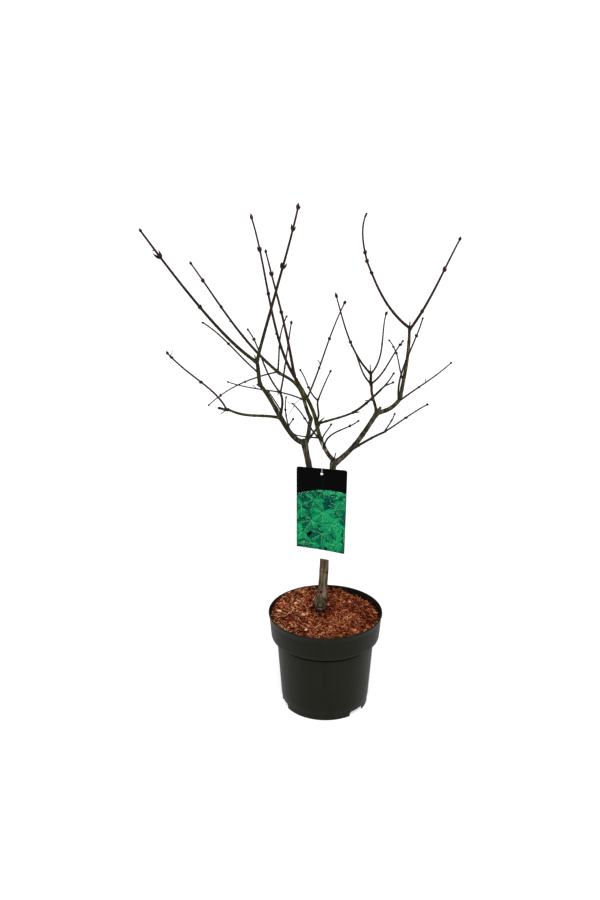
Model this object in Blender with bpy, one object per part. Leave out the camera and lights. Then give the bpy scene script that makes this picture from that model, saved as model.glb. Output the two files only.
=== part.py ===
"""A young full moon maple, bare in winter, in a round nursery pot with bark mulch and a hanging picture card.

The tree is built from its foot up. Every limb leaves a point on the limb that carries it, reaches a stated
distance left or right, forward or back and up, and stands off that straight line by its arch. The trunk,
the stems and the boughs are one solid each. Past the boughs, each mass of bare twigs is one solid: the
shoots of one pruning cut joined to a common stem, with short spurs that grow by a seeded rule.

Metres, +Z up, the front of the pot towards -Y. The origin is the centre of the pot's flat underside.
"""

import math
import random

import bmesh
import bpy
from mathutils import Matrix, Vector

MM = 0.001
GAP = 0.3 * MM
UP = Vector((0.0, 0.0, 1.0))

# The pot: a thin tapered wall, with a wider band round its top and three drain cuts in the foot.
POT_HEIGHT = 0.256
POT_RIM_RADIUS = 0.1455
POT_BAND_FOOT_RADIUS = 0.1384
POT_BAND_FOOT = 0.190
POT_BODY_TOP_RADIUS = 0.1240
POT_BODY_FOOT_RADIUS = 0.1126
POT_FOOT_RADIUS = 0.1104
POT_FOOT_HEIGHT = 0.018
POT_WALL = 0.0026
POT_FLOOR = 0.0032
POT_LIP = 0.0045
POT_EDGE_ROUND = 0.0015
POT_FOOT_FLARE = 0.0004
POT_FOOT_STEP = 0.003
POT_BAND_ROUND = 0.002
POT_LIP_DEPTH = 0.0016
POT_LIP_ROUND = 0.0006
POT_INNER_DRAFT = 0.0022
SHOULDER_LOW = POT_BAND_FOOT + 0.0015
SHOULDER_HIGH = POT_BAND_FOOT + 0.0040
POT_SIDES = 48
DRAIN_CUTS = 3
DRAIN_FIRST_ANGLE = math.radians(47)
DRAIN_WIDTH = 0.048
DRAIN_HEIGHT = 0.0125
DRAIN_DEPTH = 0.020

# What fills the pot, and the ground level at the trunk.
MIX_TOP = 0.214
GROUND = 0.2430
MULCH_EDGE = 0.2370
MULCH_HEAP = 0.0130
MULCH_HEAP_ANGLE = math.radians(124)
MULCH_RINGS = 6
MULCH_SIDES = 32
PAD_RADIUS = 0.026
PAD_BLEND = 0.020
RIPPLE_HEIGHT = 0.0011
RIPPLES_ACROSS = 71.0
RIPPLES_DEEP = 83.0

# The trunk: its foot stands behind and a little left of the pot's middle.
TRUNK_FOOT = Vector((-0.0118, 0.0320, GROUND + GAP))
TRUNK_REACH = Vector((0.010, 0.005, 0.229))
TRUNK_ARCH = Vector((0.003, 0.0, 0.0))
TRUNK_THICK = 0.0112
TRUNK_THIN = 0.0098
PINCH_RADIUS = 0.0020
PINCH_HEIGHT = 0.006
GRAFT_RADIUS = 0.0055
GRAFT_HEIGHT = 0.018
GRAFT_SPREAD = 0.014
GRAFT_SIDE = Vector((-0.0022, -0.0010, 0.0))

# The picture card and the loop of thread that it hangs from.
CARD_WIDTH = 0.127
CARD_HEIGHT = 0.243
CARD_THICKNESS = 0.0010
CARD_TURN = math.radians(-17)
CARD_CORNER = 0.006
CARD_TOP = 0.6480
HOLE_DROP = 0.0145
HOLE_RADIUS = 0.0028
THREAD_RADIUS = 0.0004
THREAD_PLACE = 0.55
THREAD_SIDES = 6
THREAD_ARC_STEPS = 10
THREAD_DROP_STEPS = 7
THREAD_HOLE_STEPS = 4
THREAD_NARROWING = 0.7
THREAD_SAG = 0.6
THREAD_STEP = 0.1 * MM

# How closely the limbs' rings follow each other, and how many sides they have.
TRUNK_SPACING = 0.012
TRUNK_SIDES = 12
BOUGH_SPACING = 0.028
BOUGH_SIDES = 8
TWIG_SPACING = 0.055
TWIG_SIDES = 4
SPUR_SIDES = 3
SEAT_STEP = 0.25 * MM
SEAT_CLEAR = 0.9 * GAP
SHARP_ANGLE = math.radians(40)

# Short spurs on the twigs of the bare crown.
NODE_SPACING = 0.062
SPUR_CHANCE = 0.24
SPUR_LEAST = 0.006
SPUR_MOST = 0.013
SPUR_TILT = math.radians(48)
SPUR_THICK = 0.62
SPUR_TAPER = 0.7
SPUR_ARCH = 0.06
SPUR_CLEAR = 4.0 * MM
BUD_LENGTH = 3.2
CROWN_RADIUS = 0.46
CROWN_TOP = 1.32
SEED = 423

BARK = (0.17, 0.145, 0.11)
OLIVE_BARK = (0.13, 0.125, 0.06)
TWIG_RED = (0.16, 0.055, 0.045)
POT_GREY = (0.028, 0.031, 0.029)
MIX_BROWN = (0.05, 0.032, 0.02)
MULCH_RED = (0.30, 0.10, 0.05)
CARD_GREEN = (0.12, 0.30, 0.08)
THREAD_WHITE = (0.80, 0.80, 0.78)


class Limb:
    """One tapering limb. Its middle line runs from its foot by reach, bent by arch and by a double bend, sway.

    The line is straight between knots, which lie about one spacing apart, as the rings of its skin do.
    """

    def __init__(self, foot, reach, arch, sway, thick, thin, spacing):
        self.foot = Vector(foot)
        self.reach = Vector(reach)
        self.arch = Vector(arch)
        self.sway = Vector(sway)
        self.thick = thick
        self.thin = thin
        self.steps = max(2, math.ceil(self.length() / spacing))
        self.knots = [self.curve(k / self.steps) for k in range(self.steps + 1)]

    def curve(self, t):
        bend = 4.0 * t * (1.0 - t)
        twist = 2.0 * bend * (1.0 - 2.0 * t)
        return self.foot + self.reach * t + self.arch * bend + self.sway * twist

    def point(self, t):
        low = min(self.steps - 1, int(t * self.steps))
        return self.knots[low].lerp(self.knots[low + 1], t * self.steps - low)

    def heading(self, t, step=0.01):
        low = max(0.0, t - step)
        high = min(1.0, t + step)
        return (self.point(high) - self.point(low)).normalized()

    def radius(self, t):
        return self.thick + (self.thin - self.thick) * t

    def length(self):
        return (self.reach + self.arch).length


class Trunk(Limb):
    """The trunk also swells at its graft, just above the ground, and narrows again below it."""

    def rise(self, t):
        return self.reach.z * t

    def radius(self, t):
        rise = self.rise(t)
        pinch = PINCH_RADIUS * math.exp(-rise / PINCH_HEIGHT)
        graft = GRAFT_RADIUS * math.exp(-(((rise - GRAFT_HEIGHT) / GRAFT_SPREAD) ** 2))
        return super().radius(t) - pinch + graft

    def curve(self, t):
        lean = math.exp(-(((self.rise(t) - GRAFT_HEIGHT) / GRAFT_SPREAD) ** 2))
        return super().curve(t) + GRAFT_SIDE * lean


# name: carrier, share of the way up it, reach, arch, sway (mm), radius at the foot and the tip (mm)
BOUGHS = {
    "left_stem": ("trunk", 0.93, (-53, 20, 239), (-2, 0, 0), (0, 0, 0), 8.0, 7.1),
    "right_stem": ("trunk", 1.0, (20, -5, 183), (0, 0, 0), (0, 0, 0), 9.0, 6.9),
    "left_bough": ("left_stem", 1.0, (-104, -75, 170), (-1, 0, -16), (0, 0, -12), 6.6, 4.1),
    "low_left_bough": ("left_bough", 0.53, (-120, -100, 56), (-1, 0, -4), (-1, 0, 4), 3.3, 2.7),
    "inner_bough_lower": ("left_stem", 0.97, (16, 30, 56), (2, -1, 1), (2, 0, 1), 5.2, 4.8),
    "inner_bough_upper": ("inner_bough_lower", 1.0, (-77, 35, 107), (16, 0, 6), (-8, 0, 0), 4.3, 3.5),
    "middle_bough_lower": ("right_stem", 1.0, (-43, -45, 114), (-6, -9, -4), (1, 1, -2), 5.1, 4.6),
    "middle_bough_upper": ("middle_bough_lower", 1.0, (-48, 15, 102), (4, 0, 2), (0, 0, 2), 4.4, 3.6),
    "middle_right_bough": ("middle_bough_lower", 0.97, (82, -55, 48), (-1, 0, -1), (0, 0, 1), 2.8, 2.3),
    "right_bough": ("right_stem", 0.95, (108, 30, 124), (7, 0, -6), (2, 0, -1), 6.3, 5.4),
    "right_outer_bough_lower": ("right_bough", 1.0, (57, 30, 26), (4, 0, -7), (0, 0, 0), 5.2, 4.7),
    "right_outer_bough_upper": (
        "right_outer_bough_lower", 1.0, (20, 30, 166), (4, 0, -1), (-1, 0, 0), 4.6, 3.4,
    ),
    "right_inner_bough": ("right_bough", 0.97, (-13, 0, 74), (-1, 0, -1), (2, 0, 1), 3.5, 3.1),
}

# mass: its stem, then its shoots, each with its carrier in the mass and the share of the way up it
MASSES = {
    "left_top_twigs": [
        ("stem", "left_bough", 1.0, (-7, -25, 66), (0, 0, 1), (-1, 0, 0), 4.1, 3.7),
        ("long", "stem", 0.97, (-237, -155, 336), (-9, 3, -12), (2, 0, -8), 3.3, 1.5),
        ("tall", "stem", 0.98, (97, -75, 373), (2, 1, 3), (-2, 0, 0), 3.2, 1.5),
        ("thin", "stem", 0.52, (-128, 4, 120), (3, 0, 2), (-2, 0, -2), 1.5, 1.1),
    ],
    "low_left_twigs": [
        ("stem", "low_left_bough", 1.0, (-22, -24, 12), (0, 0, -1), (0, 0, -1), 2.6, 2.3),
        ("rising", "stem", 0.2, (-118, -132, 176), (10, 2, -3), (4, 1, 3), 1.7, 1.1),
    ],
    "left_inner_twigs": [
        ("stem", "left_bough", 0.5, (-6, 12, 69), (2, 0, -4), (-4, 0, 1), 2.7, 2.2),
        ("left", "stem", 0.97, (-79, 50, 145), (-5, 0, 6), (-5, 0, -1), 1.6, 1.0),
        ("right", "stem", 0.97, (28, -100, 202), (1, 1, 0), (1, 0, 0), 1.7, 0.9),
        ("low", "stem", 0.36, (-32, 30, 42), (0, 0, 1), (0, 0, 0), 1.3, 0.8),
    ],
    "left_low_twigs": [
        ("stem", "left_bough", 0.32, (-9, -32, 102), (-4, -14, -3), (2, 0, 0), 1.4, 0.8),
        ("side", "stem", 0.26, (12, -4, 20), (0, 0, 0), (0, 0, 0), 1.1, 0.8),
    ],
    "back_long_twig": [
        ("stem", "inner_bough_upper", 0.37, (-191, 35, 37), (2, 0, 3), (2, 0, 4), 1.4, 0.8),
    ],
    "inner_top_twigs": [
        ("stem", "inner_bough_upper", 1.0, (-230, 180, 240), (-9, 1, -9), (-4, 0, -1), 3.2, 1.4),
        ("drooping", "stem", 0.02, (-180, 78, -114), (-7, 1, 13), (0, 0, -1), 1.4, 0.8),
        ("upright", "stem", 0.02, (22, 97, 117), (-7, -1, 0), (3, 0, 2), 1.6, 1.0),
    ],
    "middle_top_twigs": [
        ("stem", "middle_bough_upper", 1.0, (-107, 100, 372), (-9, 0, -12), (-6, 0, -8), 2.9, 1.3),
        ("right", "stem", 0.03, (-66, 17, 298), (3, 20, -1), (1, 0, -1), 3.0, 1.2),
    ],
    "middle_right_twigs": [
        ("stem", "middle_bough_upper", 0.57, (81, -174, 277), (0, 3, 1), (2, 0, -1), 1.7, 0.9),
    ],
    "knot_left_twigs": [
        ("stem", "middle_bough_lower", 0.62, (-68, -81, 120), (2, -8, 0), (-3, 0, -1), 1.6, 0.9),
        ("level", "stem", 0.075, (-58, -20, 15), (0, 1, -2), (0, 0, 0), 1.4, 0.8),
    ],
    "knot_right_twigs": [
        ("stem", "middle_bough_lower", 0.43, (77, -102, 105), (-9, 1, 7), (-5, 0, 4), 1.7, 0.9),
        ("short", "stem", 0.06, (15, -30, 64), (-9, 0, 0), (-3, 0, 1), 1.4, 0.9),
    ],
    "middle_front_twigs": [
        ("stem", "middle_bough_upper", 0.05, (4, -32, 63), (3, 0, -3), (3, 0, -1), 1.9, 1.6),
        ("left", "stem", 0.97, (-42, -45, 89), (-2, 0, -2), (-2, 0, -2), 1.4, 0.8),
        ("right", "stem", 0.97, (30, 15, 68), (-1, 0, 0), (0, 0, 0), 1.4, 0.8),
    ],
    "front_right_twigs": [
        ("stem", "middle_right_bough", 1.0, (61, -30, 64), (2, 0, -2), (0, 0, -1), 2.3, 2.0),
        ("upper", "stem", 0.97, (30, -30, 53), (2, 0, -1), (0, 0, 0), 1.5, 0.9),
        ("outer", "stem", 0.97, (27, -60, 41), (3, 0, 5), (0, 0, 2), 1.5, 0.9),
    ],
    "low_right_twigs": [
        ("stem", "right_bough", 0.29, (79, -119, 94), (-1, 2, 1), (0, 1, -1), 3.0, 2.0),
        ("outer", "stem", 0.98, (86, -120, 109), (3, 0, 3), (0, 0, -1), 1.5, 0.9),
        ("upper", "stem", 0.98, (23, 0, 46), (1, 0, -1), (-1, 0, 0), 1.3, 0.9),
    ],
    "right_inner_twigs": [
        ("stem", "right_inner_bough", 1.0, (-3, 0, 31), (-1, 0, -2), (-1, 0, -1), 3.0, 2.7),
        ("low_left", "stem", 0.2, (-52, -80, 119), (-3, 0, -2), (-3, 0, -1), 1.8, 1.0),
        ("low_right", "stem", 0.2, (67, -90, 133), (2, 1, -5), (2, 0, -3), 1.8, 0.9),
        ("tall", "stem", 0.95, (-82, 140, 162), (-11, 0, -8), (-2, 0, -2), 2.2, 1.1),
        ("short", "stem", 0.95, (31, -40, 162), (9, 0, -3), (5, 0, -2), 1.7, 0.9),
    ],
    "right_low_twig": [
        ("stem", "right_outer_bough_lower", 0.78, (152, 157, 58), (0, 10, -6), (-1, 0, 1), 1.8, 0.9),
    ],
    "right_rising_twig": [
        ("stem", "right_outer_bough_lower", 0.93, (45, -61, 224), (-10, 1, 0), (-6, 0, 0), 2.0, 1.1),
    ],
    "right_short_twig": [
        ("stem", "right_outer_bough_upper", 0.27, (-33, 72, 83), (5, 0, -2), (-3, 0, -3), 1.5, 0.8),
    ],
    "right_top_twigs": [
        ("stem", "right_outer_bough_upper", 1.0, (136, 160, 195), (4, 1, -4), (2, 0, -1), 3.0, 1.4),
        ("inward", "stem", 0.02, (-121, -143, 304), (-38, 2, -10), (8, 0, -13), 3.0, 1.1),
    ],
}


def clear_scene():
    for obj in list(bpy.data.objects):
        bpy.data.objects.remove(obj, do_unlink=True)


def finish_of(name, colour, roughness):
    material = bpy.data.materials.new(name)
    material.use_nodes = True
    shader = material.node_tree.nodes["Principled BSDF"]
    shader.inputs["Base Color"].default_value = (*colour, 1.0)
    shader.inputs["Roughness"].default_value = roughness
    shader.inputs["Metallic"].default_value = 0.0
    return material


def object_of(name, bm, material, smooth=True):
    bmesh.ops.recalc_face_normals(bm, faces=bm.faces)
    mesh = bpy.data.meshes.new(name)
    bm.to_mesh(mesh)
    bm.free()
    mesh.materials.append(material)
    if smooth:
        mesh.shade_smooth()
        mesh.set_sharp_from_angle(angle=SHARP_ANGLE)
    obj = bpy.data.objects.new(name, mesh)
    bpy.context.scene.collection.objects.link(obj)
    return obj


def turned(profile, sides):
    """A solid of revolution. The profile runs from the axis, round the outside and back to the axis."""
    bm = bmesh.new()
    rings = []
    for radius, height in profile:
        if radius == 0.0:
            rings.append([bm.verts.new((0.0, 0.0, height))])
            continue
        ring = []
        for k in range(sides):
            angle = math.tau * k / sides
            ring.append(bm.verts.new((radius * math.cos(angle), radius * math.sin(angle), height)))
        rings.append(ring)
    for low, high in zip(rings, rings[1:]):
        for k in range(sides):
            corners = [low[k % len(low)], low[(k + 1) % len(low)], high[(k + 1) % len(high)], high[k % len(high)]]
            bm.faces.new(dict.fromkeys(corners))
    return bm


def frames_along(headings):
    """For each heading along a line, two directions square to it that don't spin as the line bends."""
    start = Vector((1.0, 0.0, 0.0)) if abs(headings[0].x) < 0.8 else Vector((0.0, 1.0, 0.0))
    side = start
    frames = []
    for heading in headings:
        side = (side - heading * side.dot(heading)).normalized()
        frames.append((side, heading.cross(side)))
    return frames


def ring_places(centre, frame, radius, sides):
    side, other = frame
    places = []
    for k in range(sides):
        angle = math.tau * k / sides
        places.append(centre + side * (radius * math.cos(angle)) + other * (radius * math.sin(angle)))
    return places


def skin(rings, pointed_tip=None):
    """Closes a row of rings into one solid, with a flat foot and a flat or pointed tip."""
    bm = bmesh.new()
    rows = [[bm.verts.new(place) for place in ring] for ring in rings]
    sides = len(rows[0])
    for low, high in zip(rows, rows[1:]):
        for k in range(sides):
            following = (k + 1) % sides
            bm.faces.new((low[k], low[following], high[following], high[k]))
    bm.faces.new(list(reversed(rows[0])))
    if pointed_tip is None:
        bm.faces.new(rows[-1])
    else:
        tip = bm.verts.new(pointed_tip)
        for k in range(sides):
            bm.faces.new((rows[-1][k], rows[-1][(k + 1) % sides], tip))
    return bm


def distance_to(limb, place):
    """How far a place lies from a limb's skin, taking both ends of the limb as cut flat."""
    nearest = math.inf
    for k in range(limb.steps):
        low, high = limb.knots[k], limb.knots[k + 1]
        along = high - low
        share = (place - low).dot(along) / along.length_squared
        held = min(1.0, max(0.0, share))
        beyond = abs(share - held) * along.length
        outward = (place - low - along * share).length - limb.radius((k + held) / limb.steps)
        nearest = min(nearest, math.hypot(beyond, max(0.0, outward)) if beyond > 0.0 else outward)
    return nearest


def limb_rings(limb, sides, first_way=None):
    """Rings square to the limb from its foot to its tip, the first one square to first_way if that is given."""
    shares = [k / limb.steps for k in range(limb.steps + 1)]
    headings = [limb.heading(share) for share in shares]
    frames = frames_along([first_way or headings[0]] + headings[1:])
    return [ring_places(limb.point(s), f, limb.radius(s), sides) for f, s in zip(frames, shares)]


def seat_on_side(rings, limb, carrier, share, others):
    """Cuts a limb's foot by a plane that lies against its carrier's skin, a gap clear of every other limb."""
    trunk_way = carrier.heading(share)
    leave = limb.heading(0.0)
    outward = (leave - trunk_way * leave.dot(trunk_way)).normalized()
    middle = carrier.point(share)
    stand_off = carrier.radius(share) + GAP
    while True:
        foot = []
        for place in rings[0]:
            slide = (stand_off - outward.dot(place - middle)) / outward.dot(leave)
            foot.append(place + leave * slide)
        clearances = [distance_to(other, place) for other in others for place in foot]
        if min(clearances, default=GAP) >= SEAT_CLEAR:
            break
        stand_off += SEAT_STEP
    kept = [ring for ring in rings[1:] if min(outward.dot(p - middle) for p in ring) > stand_off + MM]
    return [foot] + kept


def seat_on_tip(limb, carrier, sides):
    """Starts a limb square to its carrier's tip, a gap above it."""
    way = carrier.heading(1.0)
    rings = limb_rings(limb, sides, way)
    rings[0] = [place + way * GAP for place in rings[0]]
    return rings


def grown(carrier, share, reach, arch, sway, thick, thin, spacing):
    return Limb(
        carrier.point(share),
        Vector(reach) * MM,
        Vector(arch) * MM,
        Vector(sway) * MM,
        thick * MM,
        thin * MM,
        spacing,
    )


def seated(limb, carrier, share, sides, others):
    if share >= 1.0:
        return seat_on_tip(limb, carrier, sides)
    return seat_on_side(limb_rings(limb, sides), limb, carrier, share, others)


def build_trunk(material):
    trunk = Trunk(TRUNK_FOOT, TRUNK_REACH, TRUNK_ARCH, (0, 0, 0), TRUNK_THICK, TRUNK_THIN, TRUNK_SPACING)
    rings = limb_rings(trunk, TRUNK_SIDES)
    rings[0] = [Vector((place.x, place.y, TRUNK_FOOT.z)) for place in rings[0]]
    object_of("trunk", skin(rings), material)
    return trunk


def build_boughs(trunk, material):
    """Every stem and bough, each seated on the one that carries it."""
    limbs = {"trunk": trunk}
    for name, (carrier, share, reach, arch, sway, thick, thin) in BOUGHS.items():
        limb = grown(limbs[carrier], share, reach, arch, sway, thick, thin, BOUGH_SPACING)
        rings = seated(limb, limbs[carrier], share, BOUGH_SIDES, list(limbs.values()))
        object_of(name, skin(rings), material)
        limbs[name] = limb
    return limbs


def spurs_on(shoot, rng, limbs):
    """Short spurs at some of a shoot's nodes, leaving out any that would touch a limb or leave the crown."""
    found = []
    count = int(shoot.length() / NODE_SPACING)
    for k in range(1, count):
        chance = rng.random()
        roll = rng.uniform(0.0, math.tau)
        reach = rng.uniform(SPUR_LEAST, SPUR_MOST)
        if chance > SPUR_CHANCE:
            continue
        share = k * NODE_SPACING / shoot.length()
        heading = shoot.heading(share)
        side = heading.orthogonal().normalized()
        side.rotate(Matrix.Rotation(roll, 3, heading))
        way = heading * math.cos(SPUR_TILT) + side * math.sin(SPUR_TILT)
        thick = SPUR_THICK * shoot.radius(share)
        thin = SPUR_TAPER * thick
        spur = Limb(shoot.point(share), way * reach, UP * SPUR_ARCH * reach, (0, 0, 0), thick, thin, reach)
        tip = spur.point(1.0)
        inside = math.hypot(tip.x, tip.y) < CROWN_RADIUS and tip.z < CROWN_TOP
        if inside and all(distance_to(limb, tip) > SPUR_CLEAR for limb in limbs.values()):
            found.append(spur)
    return found


def twig_solid(limb, rings):
    """A twig ends in a small pointed bud."""
    tip = limb.point(1.0) + limb.heading(1.0) * (BUD_LENGTH * limb.thin)
    return skin(rings, tip)


def joined(name, solids, material):
    """One Boolean union joins a mass. The objects that it joined are then removed."""
    extra = bpy.data.collections.new(name + "_shoots")
    bpy.context.scene.collection.children.link(extra)
    base = object_of(name, solids[0], material)
    for k, solid in enumerate(solids[1:]):
        shoot = object_of(f"{name}_{k}", solid, material)
        bpy.context.scene.collection.objects.unlink(shoot)
        extra.objects.link(shoot)
    if solids[1:]:
        union = base.modifiers.new("Join the shoots", "BOOLEAN")
        union.operation = "UNION"
        union.operand_type = "COLLECTION"
        union.collection = extra
        union.solver = "EXACT"
        bpy.context.view_layer.update()
        evaluated = base.evaluated_get(bpy.context.evaluated_depsgraph_get())
        whole = bpy.data.meshes.new_from_object(evaluated)
        base.modifiers.clear()
        base.data = whole
    for shoot in list(extra.objects):
        bpy.data.objects.remove(shoot, do_unlink=True)
    bpy.data.collections.remove(extra)
    base.data.name = name
    return base


def build_masses(limbs, material):
    """Each mass of bare twigs: its stem seated on its bough, its shoots and spurs rooted in one another."""
    for number, (name, shoots) in enumerate(MASSES.items()):
        rng = random.Random(SEED + number)
        grown_here = {}
        solids = []
        for key, carrier, share, reach, arch, sway, thick, thin in shoots:
            if key == "stem":
                limb = grown(limbs[carrier], share, reach, arch, sway, thick, thin, TWIG_SPACING)
                rings = seated(limb, limbs[carrier], share, TWIG_SIDES, list(limbs.values()))
            else:
                limb = grown(grown_here[carrier], share, reach, arch, sway, thick, thin, TWIG_SPACING)
                rings = limb_rings(limb, TWIG_SIDES)
            grown_here[key] = limb
            solids.append(twig_solid(limb, rings))
            for spur in spurs_on(limb, rng, limbs):
                solids.append(twig_solid(spur, limb_rings(spur, SPUR_SIDES)))
        joined(name, solids, material)


def pot_profile():
    """Half the pot's section: underside, foot, wall, band and lip outside, then down the inside."""
    band_inner = POT_BAND_FOOT_RADIUS - POT_WALL
    return [
        (0.0, 0.0),
        (POT_FOOT_RADIUS - POT_EDGE_ROUND, 0.0),
        (POT_FOOT_RADIUS, POT_EDGE_ROUND),
        (POT_FOOT_RADIUS + POT_FOOT_FLARE, POT_FOOT_HEIGHT),
        (POT_BODY_FOOT_RADIUS, POT_FOOT_HEIGHT + POT_FOOT_STEP),
        (POT_BODY_TOP_RADIUS, POT_BAND_FOOT - POT_BAND_ROUND),
        (POT_BAND_FOOT_RADIUS - POT_EDGE_ROUND, POT_BAND_FOOT),
        (POT_BAND_FOOT_RADIUS, POT_BAND_FOOT + POT_BAND_ROUND),
        (POT_RIM_RADIUS - POT_LIP_DEPTH, POT_HEIGHT - POT_LIP),
        (POT_RIM_RADIUS, POT_HEIGHT - POT_LIP + POT_EDGE_ROUND),
        (POT_RIM_RADIUS, POT_HEIGHT - POT_LIP_ROUND),
        (POT_RIM_RADIUS - POT_LIP_ROUND, POT_HEIGHT),
        (POT_RIM_RADIUS - POT_WALL - POT_LIP_ROUND, POT_HEIGHT),
        (POT_RIM_RADIUS - POT_WALL - POT_LIP_DEPTH, POT_HEIGHT - POT_LIP),
        (band_inner, SHOULDER_HIGH),
        (POT_BODY_TOP_RADIUS - POT_WALL, SHOULDER_LOW),
        (POT_BODY_FOOT_RADIUS - POT_WALL - POT_INNER_DRAFT, POT_FLOOR),
        (0.0, POT_FLOOR),
    ]


def drain_cutter(angle):
    """A block that cuts through the bottom edge of the pot."""
    bm = bmesh.new()
    bmesh.ops.create_cube(bm, size=1.0)
    bmesh.ops.scale(bm, vec=(DRAIN_DEPTH, DRAIN_WIDTH, 2.0 * DRAIN_HEIGHT), verts=bm.verts)
    bmesh.ops.translate(bm, vec=(POT_FOOT_RADIUS, 0.0, 0.0), verts=bm.verts)
    bmesh.ops.rotate(bm, matrix=Matrix.Rotation(angle, 3, "Z"), verts=bm.verts)
    mesh = bpy.data.meshes.new("drain_cutter")
    bm.to_mesh(mesh)
    bm.free()
    cutter = bpy.data.objects.new("drain_cutter", mesh)
    cutter.hide_render = True
    cutter.display_type = "WIRE"
    bpy.context.scene.collection.objects.link(cutter)
    return cutter


def build_pot(material):
    pot = object_of("pot", turned(pot_profile(), POT_SIDES), material)
    for k in range(DRAIN_CUTS):
        angle = DRAIN_FIRST_ANGLE - math.pi / 2 + math.tau * k / DRAIN_CUTS
        cut = pot.modifiers.new(f"Drain {k}", "BOOLEAN")
        cut.operation = "DIFFERENCE"
        cut.object = drain_cutter(angle)
        cut.solver = "EXACT"
    return pot


def inner_radius(height):
    """The radius of the pot's cavity at a height."""
    low = (POT_BODY_FOOT_RADIUS - POT_WALL - POT_INNER_DRAFT, POT_FLOOR)
    high = (POT_BODY_TOP_RADIUS - POT_WALL, SHOULDER_LOW)
    band_low = (POT_BAND_FOOT_RADIUS - POT_WALL, SHOULDER_HIGH)
    band_high = (POT_RIM_RADIUS - POT_WALL - POT_LIP_DEPTH, POT_HEIGHT - POT_LIP)
    low, high = (low, high) if height <= high[1] else (band_low, band_high)
    share = (height - low[1]) / (high[1] - low[1])
    return low[0] + (high[0] - low[0]) * share


def build_mix(material):
    """The potting mix fills the pot from its floor to under the mulch."""
    clear = 2.0 * GAP
    profile = [
        (0.0, POT_FLOOR + GAP),
        (inner_radius(POT_FLOOR) - clear, POT_FLOOR + GAP),
        (inner_radius(SHOULDER_LOW) - clear, SHOULDER_LOW + clear),
        (inner_radius(SHOULDER_HIGH) - clear, SHOULDER_HIGH + clear),
        (inner_radius(MIX_TOP) - clear, MIX_TOP),
        (0.0, MIX_TOP),
    ]
    object_of("potting_mix", turned(profile, POT_SIDES), material)


def mulch_height(x, y):
    """The mulch stands highest at the back left and round the trunk, where it is level."""
    reach = math.hypot(x, y) / inner_radius(GROUND)
    toward_heap = math.cos(math.atan2(y, x) - MULCH_HEAP_ANGLE) * reach
    heap = MULCH_HEAP * max(0.0, toward_heap) ** 1.5
    dome = (GROUND - MULCH_EDGE) * (1.0 - reach**3)
    ripple = RIPPLE_HEIGHT * math.sin(RIPPLES_ACROSS * x + 2.0) * math.cos(RIPPLES_DEEP * y - 1.0)
    free = MULCH_EDGE + dome + heap + ripple
    from_trunk = math.hypot(x - TRUNK_FOOT.x, y - TRUNK_FOOT.y)
    share = min(1.0, max(0.0, (from_trunk - PAD_RADIUS) / PAD_BLEND))
    return GROUND + (free - GROUND) * share


def build_mulch(material):
    """A bed of bark mulch, in rings round the trunk's foot, level where the trunk stands."""
    bm = bmesh.new()
    outer = inner_radius(MULCH_EDGE) - 2.0 * GAP
    foot = Vector((TRUNK_FOOT.x, TRUNK_FOOT.y))
    top_rings = []
    for ring in range(MULCH_RINGS + 1):
        share = ring / MULCH_RINGS
        places = []
        for k in range(MULCH_SIDES):
            angle = math.tau * k / MULCH_SIDES
            edge = Vector((outer * math.cos(angle), outer * math.sin(angle)))
            pad = foot + Vector((math.cos(angle), math.sin(angle))) * PAD_RADIUS
            spot = pad.lerp(edge, share)
            places.append(bm.verts.new((spot.x, spot.y, mulch_height(spot.x, spot.y))))
        top_rings.append(places)
    bottom = []
    low = MIX_TOP + GAP
    for k in range(MULCH_SIDES):
        angle = math.tau * k / MULCH_SIDES
        radius = inner_radius(low) - 2.0 * GAP
        bottom.append(bm.verts.new((radius * math.cos(angle), radius * math.sin(angle), low)))
    rows = top_rings + [bottom]
    for inner, outside in zip(rows, rows[1:]):
        for k in range(MULCH_SIDES):
            following = (k + 1) % MULCH_SIDES
            bm.faces.new((inner[k], outside[k], outside[following], inner[following]))
    bm.faces.new(top_rings[0])
    bm.faces.new(list(reversed(bottom)))
    object_of("bark_mulch", bm, material)


def card_frame(x, y):
    """Places the card: its width turned about the vertical, its top edge level."""
    return Matrix.Translation((x, y, 0.0)) @ Matrix.Rotation(CARD_TURN, 4, "Z")


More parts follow.
